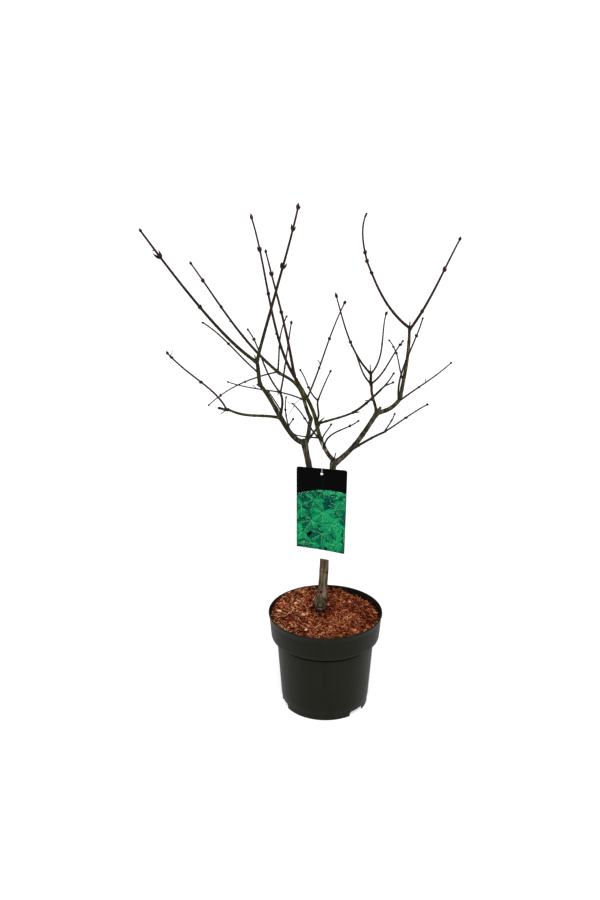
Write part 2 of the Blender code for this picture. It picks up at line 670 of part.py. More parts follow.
def build_card(x, y, material):
    """A flat card with rounded top corners and a punched hole near its top edge."""
    half = CARD_WIDTH / 2.0
    low = CARD_TOP - CARD_HEIGHT
    outline = [(-half, low), (half, low)]
    for centre_x, first in ((half - CARD_CORNER, 0.0), (-half + CARD_CORNER, math.pi / 2)):
        for k in range(5):
            angle = first + k * math.pi / 8
            across = centre_x + CARD_CORNER * math.cos(angle)
            outline.append((across, CARD_TOP - CARD_CORNER + CARD_CORNER * math.sin(angle)))
    bm = bmesh.new()
    corners = [bm.verts.new((across, -CARD_THICKNESS / 2.0, height)) for across, height in outline]
    front = bm.faces.new(corners)
    pushed = bmesh.ops.extrude_face_region(bm, geom=[front])["geom"]
    back = [item for item in pushed if isinstance(item, bmesh.types.BMVert)]
    bmesh.ops.translate(bm, vec=(0.0, CARD_THICKNESS, 0.0), verts=back)
    bmesh.ops.transform(bm, matrix=card_frame(x, y), verts=bm.verts)
    card = object_of("label_card", bm, material, smooth=False)
    punch = bmesh.new()
    bmesh.ops.create_cone(
        punch,
        cap_ends=True,
        segments=16,
        radius1=HOLE_RADIUS,
        radius2=HOLE_RADIUS,
        depth=8.0 * CARD_THICKNESS,
        matrix=Matrix.Translation((0.0, 0.0, CARD_TOP - HOLE_DROP)) @ Matrix.Rotation(math.pi / 2, 4, "X"),
    )
    bmesh.ops.transform(punch, matrix=card_frame(x, y), verts=punch.verts)
    mesh = bpy.data.meshes.new("hole_cutter")
    punch.to_mesh(mesh)
    punch.free()
    cutter = bpy.data.objects.new("hole_cutter", mesh)
    cutter.hide_render = True
    cutter.display_type = "WIRE"
    bpy.context.scene.collection.objects.link(cutter)
    cut = card.modifiers.new("Hole", "BOOLEAN")
    cut.operation = "DIFFERENCE"
    cut.object = cutter
    cut.solver = "EXACT"
    return card


def pushed_clear(limb, start, way, least):
    """Moves a place from start along way, at least so far, until the thread there clears the limb."""
    reach = least
    while distance_to(limb, start + way * reach) < THREAD_RADIUS + GAP:
        reach += THREAD_STEP
    return start + way * reach


def thread_line(bough):
    """The thread's closed line: over the bough, down both sides to the card, and through its hole."""
    middle = bough.point(THREAD_PLACE)
    heading = bough.heading(THREAD_PLACE)
    across = Vector((-heading.y, heading.x, 0.0)).normalized()
    through = Vector((-math.sin(CARD_TURN), math.cos(CARD_TURN), 0.0))
    if across.dot(through) < 0.0:
        across.negate()
    turn_height = CARD_TOP - HOLE_DROP + HOLE_RADIUS - THREAD_RADIUS - GAP
    narrow = CARD_THICKNESS / 2.0 + THREAD_RADIUS + GAP
    line = []
    for k in range(THREAD_ARC_STEPS + 1):
        angle = math.pi * k / THREAD_ARC_STEPS
        way = across * math.cos(angle) + UP * math.sin(angle)
        line.append(pushed_clear(bough, middle, way, 0.0))
    wide = (line[0] - middle).length
    drops = []
    for k in range(1, THREAD_DROP_STEPS):
        share = k / THREAD_DROP_STEPS
        spot = Vector((middle.x, middle.y, middle.z + (turn_height - middle.z) * share))
        side = across.lerp(through, share).normalized()
        drops.append((spot, side, wide + (narrow - wide) * share**THREAD_NARROWING))
    line += [pushed_clear(bough, spot, -side, half) for spot, side, half in drops]
    for k in range(THREAD_HOLE_STEPS + 1):
        angle = math.pi * k / THREAD_HOLE_STEPS
        spot = Vector((middle.x, middle.y, turn_height - THREAD_SAG * narrow * math.sin(angle)))
        line.append(spot - through * (narrow * math.cos(angle)))
    line += [pushed_clear(bough, spot, side, half) for spot, side, half in reversed(drops)]
    return line


def build_thread(bough, material):
    """A closed loop of thread, skinned as a ring without ends."""
    line = thread_line(bough)
    count = len(line)
    bm = bmesh.new()
    rows = []
    side = Vector((1.0, 0.0, 0.0))
    for k in range(count):
        heading = (line[(k + 1) % count] - line[k - 1]).normalized()
        flat = (side - heading * side.dot(heading)).normalized()
        ring = ring_places(line[k], (flat, heading.cross(flat)), THREAD_RADIUS, THREAD_SIDES)
        rows.append([bm.verts.new(place) for place in ring])
    for k in range(count):
        low, high = rows[k], rows[(k + 1) % count]
        for m in range(THREAD_SIDES):
            following = (m + 1) % THREAD_SIDES
            bm.faces.new((low[m], low[following], high[following], high[m]))
    object_of("label_thread", bm, material)


def main():
    clear_scene()
    bark = finish_of("grey_brown_bark", BARK, 0.85)
    olive = finish_of("olive_bark", OLIVE_BARK, 0.75)
    young = finish_of("red_twigs", TWIG_RED, 0.6)
    build_pot(finish_of("pot_plastic", POT_GREY, 0.5))
    build_mix(finish_of("mix", MIX_BROWN, 0.95))
    build_mulch(finish_of("mulch", MULCH_RED, 0.9))
    trunk = build_trunk(bark)
    limbs = build_boughs(trunk, olive)
    build_masses(limbs, young)
    hung_on = limbs["middle_bough_lower"]
    middle = hung_on.point(THREAD_PLACE)
    build_card(middle.x, middle.y, finish_of("card", CARD_GREEN, 0.35))
    build_thread(hung_on, finish_of("thread", THREAD_WHITE, 0.6))


main()
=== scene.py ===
"""The looks of a young full moon maple, bare in winter, in a nursery pot with bark mulch and a picture card.

The tree grows here from the same tables and by the same rule as its solids. Its shoots are thicker than
theirs, and it is carried on to finer twigs, buds and bark.
Metres, +Z up, the front of the pot towards -Y, the origin at the centre of the pot's underside.
"""

import math
import random
import bmesh
import bpy
from mathutils import Matrix, Vector, noise
from mathutils.kdtree import KDTree


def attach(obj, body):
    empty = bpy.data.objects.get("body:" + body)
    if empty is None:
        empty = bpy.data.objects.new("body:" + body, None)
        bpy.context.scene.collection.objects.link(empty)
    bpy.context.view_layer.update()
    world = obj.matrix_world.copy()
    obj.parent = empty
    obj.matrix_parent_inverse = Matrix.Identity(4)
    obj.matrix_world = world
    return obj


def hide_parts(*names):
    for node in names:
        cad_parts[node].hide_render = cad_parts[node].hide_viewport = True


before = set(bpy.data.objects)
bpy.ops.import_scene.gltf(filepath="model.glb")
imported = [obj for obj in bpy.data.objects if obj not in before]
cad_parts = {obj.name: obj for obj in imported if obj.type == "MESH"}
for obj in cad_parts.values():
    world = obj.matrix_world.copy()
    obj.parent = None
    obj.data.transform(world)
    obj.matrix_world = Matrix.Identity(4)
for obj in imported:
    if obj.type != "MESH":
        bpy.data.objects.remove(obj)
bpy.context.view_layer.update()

MM = 0.001
UP = Vector((0.0, 0.0, 1.0))
GAP = 0.3 * MM
BODY = "root"

# The pot.
POT_HEIGHT = 0.256
POT_RIM_RADIUS = 0.1455
POT_BAND_FOOT_RADIUS = 0.1384
POT_BAND_FOOT = 0.190
POT_BODY_TOP_RADIUS = 0.1240
POT_BODY_FOOT_RADIUS = 0.1126
POT_FOOT_RADIUS = 0.1104
POT_FOOT_HEIGHT = 0.018
POT_WALL = 0.0026
POT_LIP = 0.0045
POT_SIDES = 160
GROOVE_DEPTH = 0.0030
POT_BODY_RISE = 0.0034
POT_BODY_STEPS = 12
POT_BODY_SHORT = 0.0165
SHARP_EDGE = math.radians(50)
DRAIN_CUTS = 3
DRAIN_FIRST_ANGLE = math.radians(47)
DRAIN_WIDTH = 0.048
DRAIN_HEIGHT = 0.0125
DRAIN_DEPTH = 0.012
UNDERSIDE_RECESS = 0.0130
POT_FLOOR = 0.0160
MIX_TOP = 0.214
MIX_SIDES = 96
SOFT_EDGE = math.radians(40)

# The mulch.
MULCH_FLOOR = 0.216
GROUND = 0.2430
MULCH_EDGE = 0.2370
MULCH_HEAP = 0.0205
MULCH_HEAP_ANGLE = math.radians(124)
MULCH_RADIUS = 0.1394
PAD_RADIUS = 0.026
PAD_BLEND = 0.020
RIPPLE_HEIGHT = 0.0011
TUFT_DEPTH = 0.0022
RIPPLES_ACROSS = 71.0
RIPPLES_DEEP = 83.0
HOLLOW_DEPTH = 0.0085
HOLLOW_RADIUS = 0.026
BED_SINK = 0.0026
BED_RINGS = 90
BED_SIDES = 240
FIBRES = 3350
STRIPS = 3000
CHIPS = 200
CRUMBS = 1600
SPLINTERS = 80
CHIP_RISE = 0.0055
CHIP_SIDES = 8
CRUMB_SIDES = 4
TRUNK_CLEAR = 0.019
WALL_CLEAR = 0.0022
OVER_RIM = 0.004

# The trunk.
TRUNK_FOOT = Vector((-0.0118, 0.0320, GROUND + GAP))
TRUNK_REACH = Vector((0.010, 0.005, 0.229))
TRUNK_ARCH = Vector((0.003, 0.0, 0.0))
TRUNK_THICK = 0.0112
TRUNK_THIN = 0.0098
PINCH_RADIUS = 0.0020
PINCH_HEIGHT = 0.006
GRAFT_RADIUS = 0.0055
GRAFT_HEIGHT = 0.018
GRAFT_SPREAD = 0.014
GRAFT_SHOULDER = 0.023
FOOT_BELOW = 0.013
GRAFT_SIDE = Vector((-0.0022, -0.0010, 0.0))

# The card and its thread.
CARD_WIDTH = 0.127
CARD_HEIGHT = 0.243
CARD_THICKNESS = 0.0006
CARD_DRIFT = 0.0016
CARD_TURN = math.radians(-17)
CARD_CORNER = 0.006
CARD_CORNER_STEPS = 6
CARD_CURL = 0.0035
CARD_ROWS = 28
CARD_COLUMNS = 16
CARD_TOP = 0.6480
CARD_TWIST = math.radians(9)
HOLE_DROP = 0.0145
HOLE_RADIUS = 0.0028
HOLE_STEPS = 8
HEAD_SHARE = 0.285
FOOT_SHARE = 0.100
THREAD_RADIUS = 0.0009
THREAD_PLACE = 0.55
THREAD_TIE = 0.010
THREAD_DIP = 0.006
THREAD_SLACK = 1.6
THREAD_OVER_STEPS = 16
THREAD_STRAND_STEPS = 14
THREAD_DIP_STEPS = 12

# The camera.
CAMERA_LENS = 48.0
CAMERA_FILM = 36.0
CAMERA_PLACE = (-0.065, -2.7252, 1.726)
CAMERA_PITCH = 20.72

# The studio's light.
SKY_STRENGTH = 1.1
# the sky's brightness by height: the sine of the angle above the horizon, then a share of the strength
SKY_BANDS = [(0.0, 1.0), (0.30, 1.0), (0.42, 0.14), (0.60, 0.28), (0.95, 0.84)]
FLOOR_GLOW = 0.52
FLOOR_SIZE = 150.0
KEY_STRENGTH = 2.3
KEY_ANGLE = 34.0
KEY_TURN = (42.0, 0.0, 0.0)

# The crown's spurs, which grow by the source's rule.
TWIG_SPACING = 0.055
BOUGH_SPACING = 0.028
TRUNK_SPACING = 0.012
NODE_SPACING = 0.062
SPUR_CHANCE = 0.24
SPUR_LEAST = 0.006
SPUR_MOST = 0.013
SPUR_TILT = math.radians(48)
SPUR_THICK = 0.62
SPUR_TAPER = 0.7
SPUR_ARCH = 0.06
SPUR_CLEAR = 4.0 * MM
CROWN_RADIUS = 0.46
CROWN_TOP = 1.32
HEADING_STEP = 0.01

# the collar at a limb's foot: its height as a share of the limb's radius, its spread in foot radii
COLLAR_SHARE = 0.30
COLLAR_SPREAD = 1.5
SEED = 423

# name: carrier, share of the way up it, reach, arch, sway (mm), radius at the foot and the tip (mm)
BOUGHS = {
    "left_stem": ("trunk", 0.93, (-53, 20, 239), (-2, 0, 0), (0, 0, 0), 8.0, 7.1),
    "right_stem": ("trunk", 1.0, (20, -5, 183), (0, 0, 0), (0, 0, 0), 9.0, 6.9),
    "left_bough": ("left_stem", 1.0, (-104, -75, 170), (-1, 0, -16), (0, 0, -12), 6.6, 4.1),
    "low_left_bough": ("left_bough", 0.53, (-120, -100, 56), (-1, 0, -4), (-1, 0, 4), 3.3, 2.7),
    "inner_bough_lower": ("left_stem", 0.97, (16, 30, 56), (2, -1, 1), (2, 0, 1), 5.2, 4.8),
    "inner_bough_upper": ("inner_bough_lower", 1.0, (-77, 35, 107), (16, 0, 6), (-8, 0, 0), 4.3, 3.5),
    "middle_bough_lower": ("right_stem", 1.0, (-43, -45, 114), (-6, -9, -4), (1, 1, -2), 5.1, 4.6),
    "middle_bough_upper": ("middle_bough_lower", 1.0, (-48, 15, 102), (4, 0, 2), (0, 0, 2), 4.4, 3.6),
    "middle_right_bough": ("middle_bough_lower", 0.97, (82, -55, 48), (-1, 0, -1), (0, 0, 1), 2.8, 2.3),
    "right_bough": ("right_stem", 0.95, (108, 30, 124), (7, 0, -6), (2, 0, -1), 6.3, 5.4),
    "right_outer_bough_lower": ("right_bough", 1.0, (57, 30, 26), (4, 0, -7), (0, 0, 0), 5.2, 4.7),
    "right_outer_bough_upper": (
        "right_outer_bough_lower", 1.0, (20, 30, 166), (4, 0, -1), (-1, 0, 0), 4.6, 3.4,
    ),
    "right_inner_bough": ("right_bough", 0.97, (-13, 0, 74), (-1, 0, -1), (2, 0, 1), 3.5, 3.1),
}

# mass: its stem, then its shoots, each with its carrier in the mass and the share of the way up it
MASSES = {
    "left_top_twigs": [
        ("stem", "left_bough", 1.0, (-7, -25, 66), (0, 0, 1), (-1, 0, 0), 4.1, 3.7),
        ("long", "stem", 0.97, (-237, -155, 336), (-9, 3, -12), (2, 0, -8), 3.3, 1.5),
        ("tall", "stem", 0.98, (97, -75, 373), (2, 1, 3), (-2, 0, 0), 3.2, 1.5),
        ("thin", "stem", 0.52, (-128, 4, 120), (3, 0, 2), (-2, 0, -2), 1.5, 1.1),
    ],
    "low_left_twigs": [
        ("stem", "low_left_bough", 1.0, (-22, -24, 12), (0, 0, -1), (0, 0, -1), 2.6, 2.3),
        ("rising", "stem", 0.2, (-118, -132, 176), (10, 2, -3), (4, 1, 3), 1.7, 1.1),
    ],
    "left_inner_twigs": [
        ("stem", "left_bough", 0.5, (-6, 12, 69), (2, 0, -4), (-4, 0, 1), 2.7, 2.2),
        ("left", "stem", 0.97, (-79, 50, 145), (-5, 0, 6), (-5, 0, -1), 1.6, 1.0),
        ("right", "stem", 0.97, (28, -100, 202), (1, 1, 0), (1, 0, 0), 1.7, 0.9),
        ("low", "stem", 0.36, (-32, 30, 42), (0, 0, 1), (0, 0, 0), 1.3, 0.8),
    ],
    "left_low_twigs": [
        ("stem", "left_bough", 0.32, (-9, -32, 102), (-4, -14, -3), (2, 0, 0), 1.4, 0.8),
        ("side", "stem", 0.26, (12, -4, 20), (0, 0, 0), (0, 0, 0), 1.1, 0.8),
    ],
    "back_long_twig": [
        ("stem", "inner_bough_upper", 0.37, (-191, 35, 37), (2, 0, 3), (2, 0, 4), 1.4, 0.8),
    ],
    "inner_top_twigs": [
        ("stem", "inner_bough_upper", 1.0, (-230, 180, 240), (-9, 1, -9), (-4, 0, -1), 3.2, 1.4),
        ("drooping", "stem", 0.02, (-180, 78, -114), (-7, 1, 13), (0, 0, -1), 1.4, 0.8),
        ("upright", "stem", 0.02, (22, 97, 117), (-7, -1, 0), (3, 0, 2), 1.6, 1.0),
    ],
    "middle_top_twigs": [
        ("stem", "middle_bough_upper", 1.0, (-107, 100, 372), (-9, 0, -12), (-6, 0, -8), 2.9, 1.3),
        ("right", "stem", 0.03, (-66, 17, 298), (3, 20, -1), (1, 0, -1), 3.0, 1.2),
    ],
    "middle_right_twigs": [
        ("stem", "middle_bough_upper", 0.57, (81, -174, 277), (0, 3, 1), (2, 0, -1), 1.7, 0.9),
    ],
    "knot_left_twigs": [
        ("stem", "middle_bough_lower", 0.62, (-68, -81, 120), (2, -8, 0), (-3, 0, -1), 1.6, 0.9),
        ("level", "stem", 0.075, (-58, -20, 15), (0, 1, -2), (0, 0, 0), 1.4, 0.8),
    ],
    "knot_right_twigs": [
        ("stem", "middle_bough_lower", 0.43, (77, -102, 105), (-9, 1, 7), (-5, 0, 4), 1.7, 0.9),
        ("short", "stem", 0.06, (15, -30, 64), (-9, 0, 0), (-3, 0, 1), 1.4, 0.9),
    ],
    "middle_front_twigs": [
        ("stem", "middle_bough_upper", 0.05, (4, -32, 63), (3, 0, -3), (3, 0, -1), 1.9, 1.6),
        ("left", "stem", 0.97, (-42, -45, 89), (-2, 0, -2), (-2, 0, -2), 1.4, 0.8),
        ("right", "stem", 0.97, (30, 15, 68), (-1, 0, 0), (0, 0, 0), 1.4, 0.8),
    ],
    "front_right_twigs": [
        ("stem", "middle_right_bough", 1.0, (61, -30, 64), (2, 0, -2), (0, 0, -1), 2.3, 2.0),
        ("upper", "stem", 0.97, (30, -30, 53), (2, 0, -1), (0, 0, 0), 1.5, 0.9),
        ("outer", "stem", 0.97, (27, -60, 41), (3, 0, 5), (0, 0, 2), 1.5, 0.9),
    ],
    "low_right_twigs": [
        ("stem", "right_bough", 0.29, (79, -119, 94), (-1, 2, 1), (0, 1, -1), 3.0, 2.0),
        ("outer", "stem", 0.98, (86, -120, 109), (3, 0, 3), (0, 0, -1), 1.5, 0.9),
        ("upper", "stem", 0.98, (23, 0, 46), (1, 0, -1), (-1, 0, 0), 1.3, 0.9),
    ],
    "right_inner_twigs": [
        ("stem", "right_inner_bough", 1.0, (-3, 0, 31), (-1, 0, -2), (-1, 0, -1), 3.0, 2.7),
        ("low_left", "stem", 0.2, (-52, -80, 119), (-3, 0, -2), (-3, 0, -1), 1.8, 1.0),
        ("low_right", "stem", 0.2, (67, -90, 133), (2, 1, -5), (2, 0, -3), 1.8, 0.9),
        ("tall", "stem", 0.95, (-82, 140, 162), (-11, 0, -8), (-2, 0, -2), 2.2, 1.1),
        ("short", "stem", 0.95, (31, -40, 162), (9, 0, -3), (5, 0, -2), 1.7, 0.9),
    ],
    "right_low_twig": [
        ("stem", "right_outer_bough_lower", 0.78, (152, 157, 58), (0, 10, -6), (-1, 0, 1), 1.8, 0.9),
    ],
    "right_rising_twig": [
        ("stem", "right_outer_bough_lower", 0.93, (45, -61, 224), (-10, 1, 0), (-6, 0, 0), 2.0, 1.1),
    ],
    "right_short_twig": [
        ("stem", "right_outer_bough_upper", 0.27, (-33, 72, 83), (5, 0, -2), (-3, 0, -3), 1.5, 0.8),
    ],
    "right_top_twigs": [
        ("stem", "right_outer_bough_upper", 1.0, (136, 160, 195), (4, 1, -4), (2, 0, -1), 3.0, 1.4),
        ("inward", "stem", 0.02, (-121, -143, 304), (-38, 2, -10), (8, 0, -13), 3.0, 1.1),
    ],
}

# shoot: the share of the way up it and the bud length (mm) of each pair of buds, then the end bud's length
BUDS = {
    "left_top_twigs.long": ([(0.475, 10), (0.81, 24)], 11),
    "left_top_twigs.tall": ([(0.302, 6), (0.61, 18), (0.85, 15)], 17),
    "left_top_twigs.thin": ([(0.55, 5)], 7),
    "low_left_twigs.rising": ([(0.215, 6), (0.512, 8), (0.925, 8)], 10),
    "left_inner_twigs.left": ([(0.4, 5), (0.797, 9)], 7),
    "left_inner_twigs.right": ([(0.37, 6), (0.705, 6)], 11),
    "back_long_twig.stem": ([(0.05, 5), (0.345, 5), (0.55, 6)], 6),
    "left_low_twigs.stem": ([(0.557, 5), (0.703, 5)], 6),
    "inner_top_twigs.stem": ([(0.115, 6), (0.36, 6), (0.615, 8), (0.84, 12)], 12),
    "inner_top_twigs.drooping": ([(0.42, 5), (0.785, 8)], 6),
    "inner_top_twigs.upright": ([(0.413, 6)], 8),
    "middle_top_twigs.stem": ([(0.3, 6), (0.55, 8), (0.793, 15)], 16),
    "middle_top_twigs.right": ([(0.5, 8), (0.8, 15)], 11),
    "middle_right_twigs.stem": ([(0.33, 5), (0.62, 9)], 13),
    "knot_left_twigs.stem": ([(0.61, 6)], 5),
    "knot_right_twigs.stem": ([(0.54, 6), (0.772, 6)], 7),
    "middle_front_twigs.left": ([(0.448, 6)], 7),
    "front_right_twigs.stem": ([(0.463, 5)], 0),
    "low_right_twigs.stem": ([(0.278, 5), (0.633, 6)], 0),
    "low_right_twigs.outer": ([(0.47, 8)], 8),
    "low_right_twigs.upper": ([(0.635, 5)], 7),
    "right_inner_twigs.low_right": ([(0.398, 6), (0.9, 9)], 8),
    "right_inner_twigs.tall": ([(0.425, 8), (0.78, 6)], 16),
    "right_inner_twigs.short": ([(0.515, 5)], 12),
    "right_low_twig.stem": ([(0.4, 5), (0.72, 6)], 8),
    "right_rising_twig.stem": ([(0.482, 6), (0.78, 8)], 7),
    "right_short_twig.stem": ([(0.66, 8), (0.802, 6)], 7),
    "right_top_twigs.stem": ([(0.203, 8), (0.65, 15)], 14),
    "right_top_twigs.inward": ([(0.075, 5), (0.295, 5), (0.525, 8), (0.61, 10), (0.675, 11), (0.97, 6)], 6),
}
END_BUD = 8
END_BUD_SINK = 0.55

# a shoot's radius here from its plain radius in the source: a factor, then mm
BARK_GAIN = 1.06
BARK_SKIN = 0.62
SPUR_BUD = 4
STRONG_BUD = 8
STRONG_TURN = 0.5
TWIG_SIDES = 10
TWIG_RING_STEP = 0.0028
SPUR_SIDES = 8
SPUR_RING_STEP = 0.0022
BUD_SIDES = 8
BUD_LEAN = (22, 32)
SIDE_BUD_LEAN = (20, 32)
FIRST_SCAR = 0.008
SCARRED_SHARE = 0.22
FINE_TWIG_TONES = (2.0, 3.0)

# cut shoots on the trunk and boughs: carrier, share, reach (mm), radius at the foot and the cut (mm)
STUBS = [
    ("right_stem", 1.0, (5, -3, 22), 1.7, 1.3),
    ("trunk", 0.215, (-12, -3, 2), 4.2, 2.8),
    ("left_bough", 1.0, (-9, -3, 3), 2.2, 1.8),
    ("middle_bough_lower", 0.98, (18, -9, 19), 1.8, 1.3),
    ("middle_right_bough", 1.0, (17, -6, 4), 1.6, 1.2),
    ("right_bough", 1.0, (7, -4, 15), 3.6, 3.0),
    ("right_outer_bough_upper", 1.0, (1, -2, 23), 1.8, 1.4),
    ("inner_bough_lower", 0.04, (35, -8, 52), 3.0, 2.5),
    ("left_stem", 0.62, (-9, -4, 3), 2.6, 2.2),
    ("right_bough", 0.50, (4, -7, 3), 2.2, 1.8),
    ("right_inner_bough", 0.50, (-22, -5, 1), 1.4, 1.1),
]

# finer twigs: mass, carrier shoot, share, reach (mm), radius at the foot and the tip (mm)
FINE_TWIGS = [
    ("left_top_twigs", "stem", 1.0, (-5, 2, 15), 1.8, 1.4),
    ("low_left_twigs", "stem", 0.22, (-14, -4, -9), 1.3, 1.0),
    ("low_left_twigs", "rising", 0.95, (6, 6, 14), 0.8, 0.5),
    ("knot_left_twigs", "stem", 0.97, (18, 6, 14), 0.8, 0.5),
    ("knot_left_twigs", "stem", 0.96, (-17, 10, 4), 0.8, 0.5),
    ("knot_left_twigs", "stem", 0.95, (-14, -8, -22), 0.8, 0.5),
    ("right_inner_twigs", "stem", 0.97, (-2, 2, 22), 1.6, 1.3),
    ("low_right_twigs", "stem", 0.28, (1, -4, 10), 1.1, 0.8),
]


class Limb:
    """One tapering limb. Its middle line runs from its foot by reach, bent by arch and doubly by sway."""

    def __init__(self, foot, reach, arch, sway, thick, thin, spacing):
        self.foot = Vector(foot)
        self.reach = Vector(reach)
        self.arch = Vector(arch)
        self.sway = Vector(sway)
        self.thick = thick
        self.thin = thin
        self.steps = max(2, math.ceil(self.length() / spacing))
        self.knots = [self.curve(k / self.steps) for k in range(self.steps + 1)]
        self.joints = [0.0, 1.0]
        self.kinks = [Vector(), Vector()]
        self.swellings = []
        self.carrier = None
        self.foot_depth = 0.0

    def curve(self, t):
        bend = 4.0 * t * (1.0 - t)
        twist = 2.0 * bend * (1.0 - 2.0 * t)
        return self.foot + self.reach * t + self.arch * bend + self.sway * twist

    def bent_at(self, shares, rng, most):
        """A slight bend at each node, as a shoot has, while both of its ends stay where they are."""
        self.joints = [0.0] + sorted(shares) + [1.0]
        self.kinks = [Vector()]
        for share in self.joints[1:-1]:
            size = most * min(1.0, 6.0 * share * (1.0 - share))
            self.kinks.append(Vector((rng.uniform(-1, 1), rng.uniform(-1, 1), rng.uniform(-1, 1))) * size)
        self.kinks.append(Vector())

    def point(self, t):
        for low, high, near, far in zip(self.joints, self.joints[1:], self.kinks, self.kinks[1:]):
            if t <= high or high == self.joints[-1]:
                share = (t - low) / max(1e-6, high - low)
                return self.curve(t) + near.lerp(far, min(1.0, max(0.0, share)))

    def heading(self, t):
        low = max(0.0, t - HEADING_STEP)
        high = min(1.0, t + HEADING_STEP)
        return (self.point(high) - self.point(low)).normalized()

    def radius(self, t):
        return self.thick + (self.thin - self.thick) * t

    def length(self):
        return (self.reach + self.arch).length


class Trunk(Limb):
    """The trunk also swells at its graft, just above the ground, and narrows again below it."""

    def rise(self, t):
        return self.reach.z * t

    def radius(self, t):
        rise = self.rise(t)
        pinch = PINCH_RADIUS * math.exp(-rise / PINCH_HEIGHT)
        spread = GRAFT_SHOULDER if rise > GRAFT_HEIGHT else GRAFT_SPREAD
        graft = GRAFT_RADIUS * math.exp(-(((rise - GRAFT_HEIGHT) / spread) ** 2))
        return super().radius(t) - pinch + graft

    def curve(self, t):
        lean = math.exp(-(((self.rise(t) - GRAFT_HEIGHT) / GRAFT_SPREAD) ** 2))
        return super().curve(t) + GRAFT_SIDE * lean


class Pile:
    """Gathers many small closed solids into one mesh, each face with the number of its material."""

    def __init__(self):
        self.places = []
        self.faces = []
        self.looks = []

    def add_rings(self, rings, looks, foot=None, tip=None):
        """A closed solid through rings, its ends pointed at foot and tip, or flat where there is none."""
        sides = len(rings[0])
        first = len(self.places)
        for ring in rings:
            self.places.extend(ring)
        for k in range(len(rings) - 1):
            low = first + k * sides
            for m in range(sides):
                following = (m + 1) % sides
                self.faces.append((low + m, low + following, low + sides + following, low + sides + m))
                self.looks.append(looks[k])
        self.close_end(first, rings[0], foot, looks[0], True)
        self.close_end(first + (len(rings) - 1) * sides, rings[-1], tip, looks[-1], False)

    def close_end(self, start, ring, place, look, reverse):
        middle = len(self.places)
        self.places.append(place or sum(ring, Vector()) / len(ring))
        for m in range(len(ring)):
            following = (m + 1) % len(ring)
            pair = (start + following, start + m) if reverse else (start + m, start + following)
            self.faces.append((*pair, middle))
            self.looks.append(look)

    def object(self, name, materials, smooth_angle=None):
        mesh = bpy.data.meshes.new(name)
        mesh.from_pydata([tuple(place) for place in self.places], [], self.faces)
        for material in materials:
            mesh.materials.append(material)
        mesh.polygons.foreach_set("material_index", self.looks)
        mesh.shade_smooth()
        if smooth_angle is not None:
            mesh.set_sharp_from_angle(angle=smooth_angle)
        mesh.update()
        return linked(name, mesh)


def linked(name, data):
    """A new object in the scene."""
    made = bpy.data.objects.new(name, data)
    bpy.context.scene.collection.objects.link(made)
    return made


def object_of(name, bm):
    """A new object with the mesh that was built in bm."""
    mesh = bpy.data.meshes.new(name)
    bm.to_mesh(mesh)
    bm.free()
    return linked(name, mesh)


def applied(piece):
    """Makes what a piece's modifiers show into its own mesh."""
    bpy.context.view_layer.update()
    evaluated = piece.evaluated_get(bpy.context.evaluated_depsgraph_get())
    mesh = bpy.data.meshes.new_from_object(evaluated)
    piece.modifiers.clear()
    piece.data = mesh
    mesh.name = piece.name
    return mesh


def cut_out(piece, cutters):
    """Takes the cutters' shapes out of a piece, then removes them."""
    for cutter in cutters:
        cut = piece.modifiers.new(cutter.name, "BOOLEAN")
        cut.operation = "DIFFERENCE"
        cut.object = cutter
        cut.solver = "EXACT"
    mesh = applied(piece)
    for cutter in cutters:
        bpy.data.objects.remove(cutter, do_unlink=True)
    return mesh


def flat_face(outline):
    bm = bmesh.new()
    bm.faces.new([bm.verts.new((across, height, 0.0)) for across, height in outline])
    return bm


def split_at(bm, axis, place):
    """Splits a flat mesh along the line that crosses an axis at a place."""
    point = [0.0, 0.0, 0.0]
    normal = [0.0, 0.0, 0.0]
    point[axis] = place
    normal[axis] = 1.0
    geom = list(bm.verts) + list(bm.edges) + list(bm.faces)
    bmesh.ops.bisect_plane(bm, geom=geom, plane_co=point, plane_no=normal)


def thicken(bm, thickness):
    """Raises a flat mesh into a closed solid."""
    pushed = bmesh.ops.extrude_face_region(bm, geom=list(bm.faces))["geom"]
    upper = [item for item in pushed if isinstance(item, bmesh.types.BMVert)]
    bmesh.ops.translate(bm, vec=(0.0, 0.0, thickness), verts=upper)
    bmesh.ops.recalc_face_normals(bm, faces=bm.faces)


def settle(piece, slot_name, *nodes):
    """Rides the piece on the plant's body, in place of its solids. The slot name is not used."""
    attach(piece, BODY)
    if nodes:
        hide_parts(*nodes)


def frames_along(headings):
    """For each heading along a line, two directions square to it that don't spin as the line bends."""
    start = Vector((1.0, 0.0, 0.0)) if abs(headings[0].x) < 0.8 else Vector((0.0, 1.0, 0.0))
    side = start
    frames = []
    for heading in headings:
        side = (side - heading * side.dot(heading)).normalized()
        frames.append((side, heading.cross(side)))
    return frames


def ring_places(centre, pair, radius, sides):
    """A round ring about a centre, in the plane of a pair of directions."""
    side, other = pair
    places = []
    for k in range(sides):
        angle = math.tau * k / sides
        places.append(centre + side * (radius * math.cos(angle)) + other * (radius * math.sin(angle)))
    return places


def bump_near(distance, spread):
    return math.exp(-((distance / spread) ** 2))


def distance_to(limb, place):
    """How far a place lies from a limb's skin, taking both ends of the limb as cut flat."""
    nearest = math.inf
    for k in range(limb.steps):
        low, high = limb.knots[k], limb.knots[k + 1]
        along = high - low
        share = (place - low).dot(along) / along.length_squared
        held = min(1.0, max(0.0, share))
        beyond = abs(share - held) * along.length
        outward = (place - low - along * share).length - limb.radius((k + held) / limb.steps)
        nearest = min(nearest, math.hypot(beyond, max(0.0, outward)) if beyond > 0.0 else outward)
    return nearest


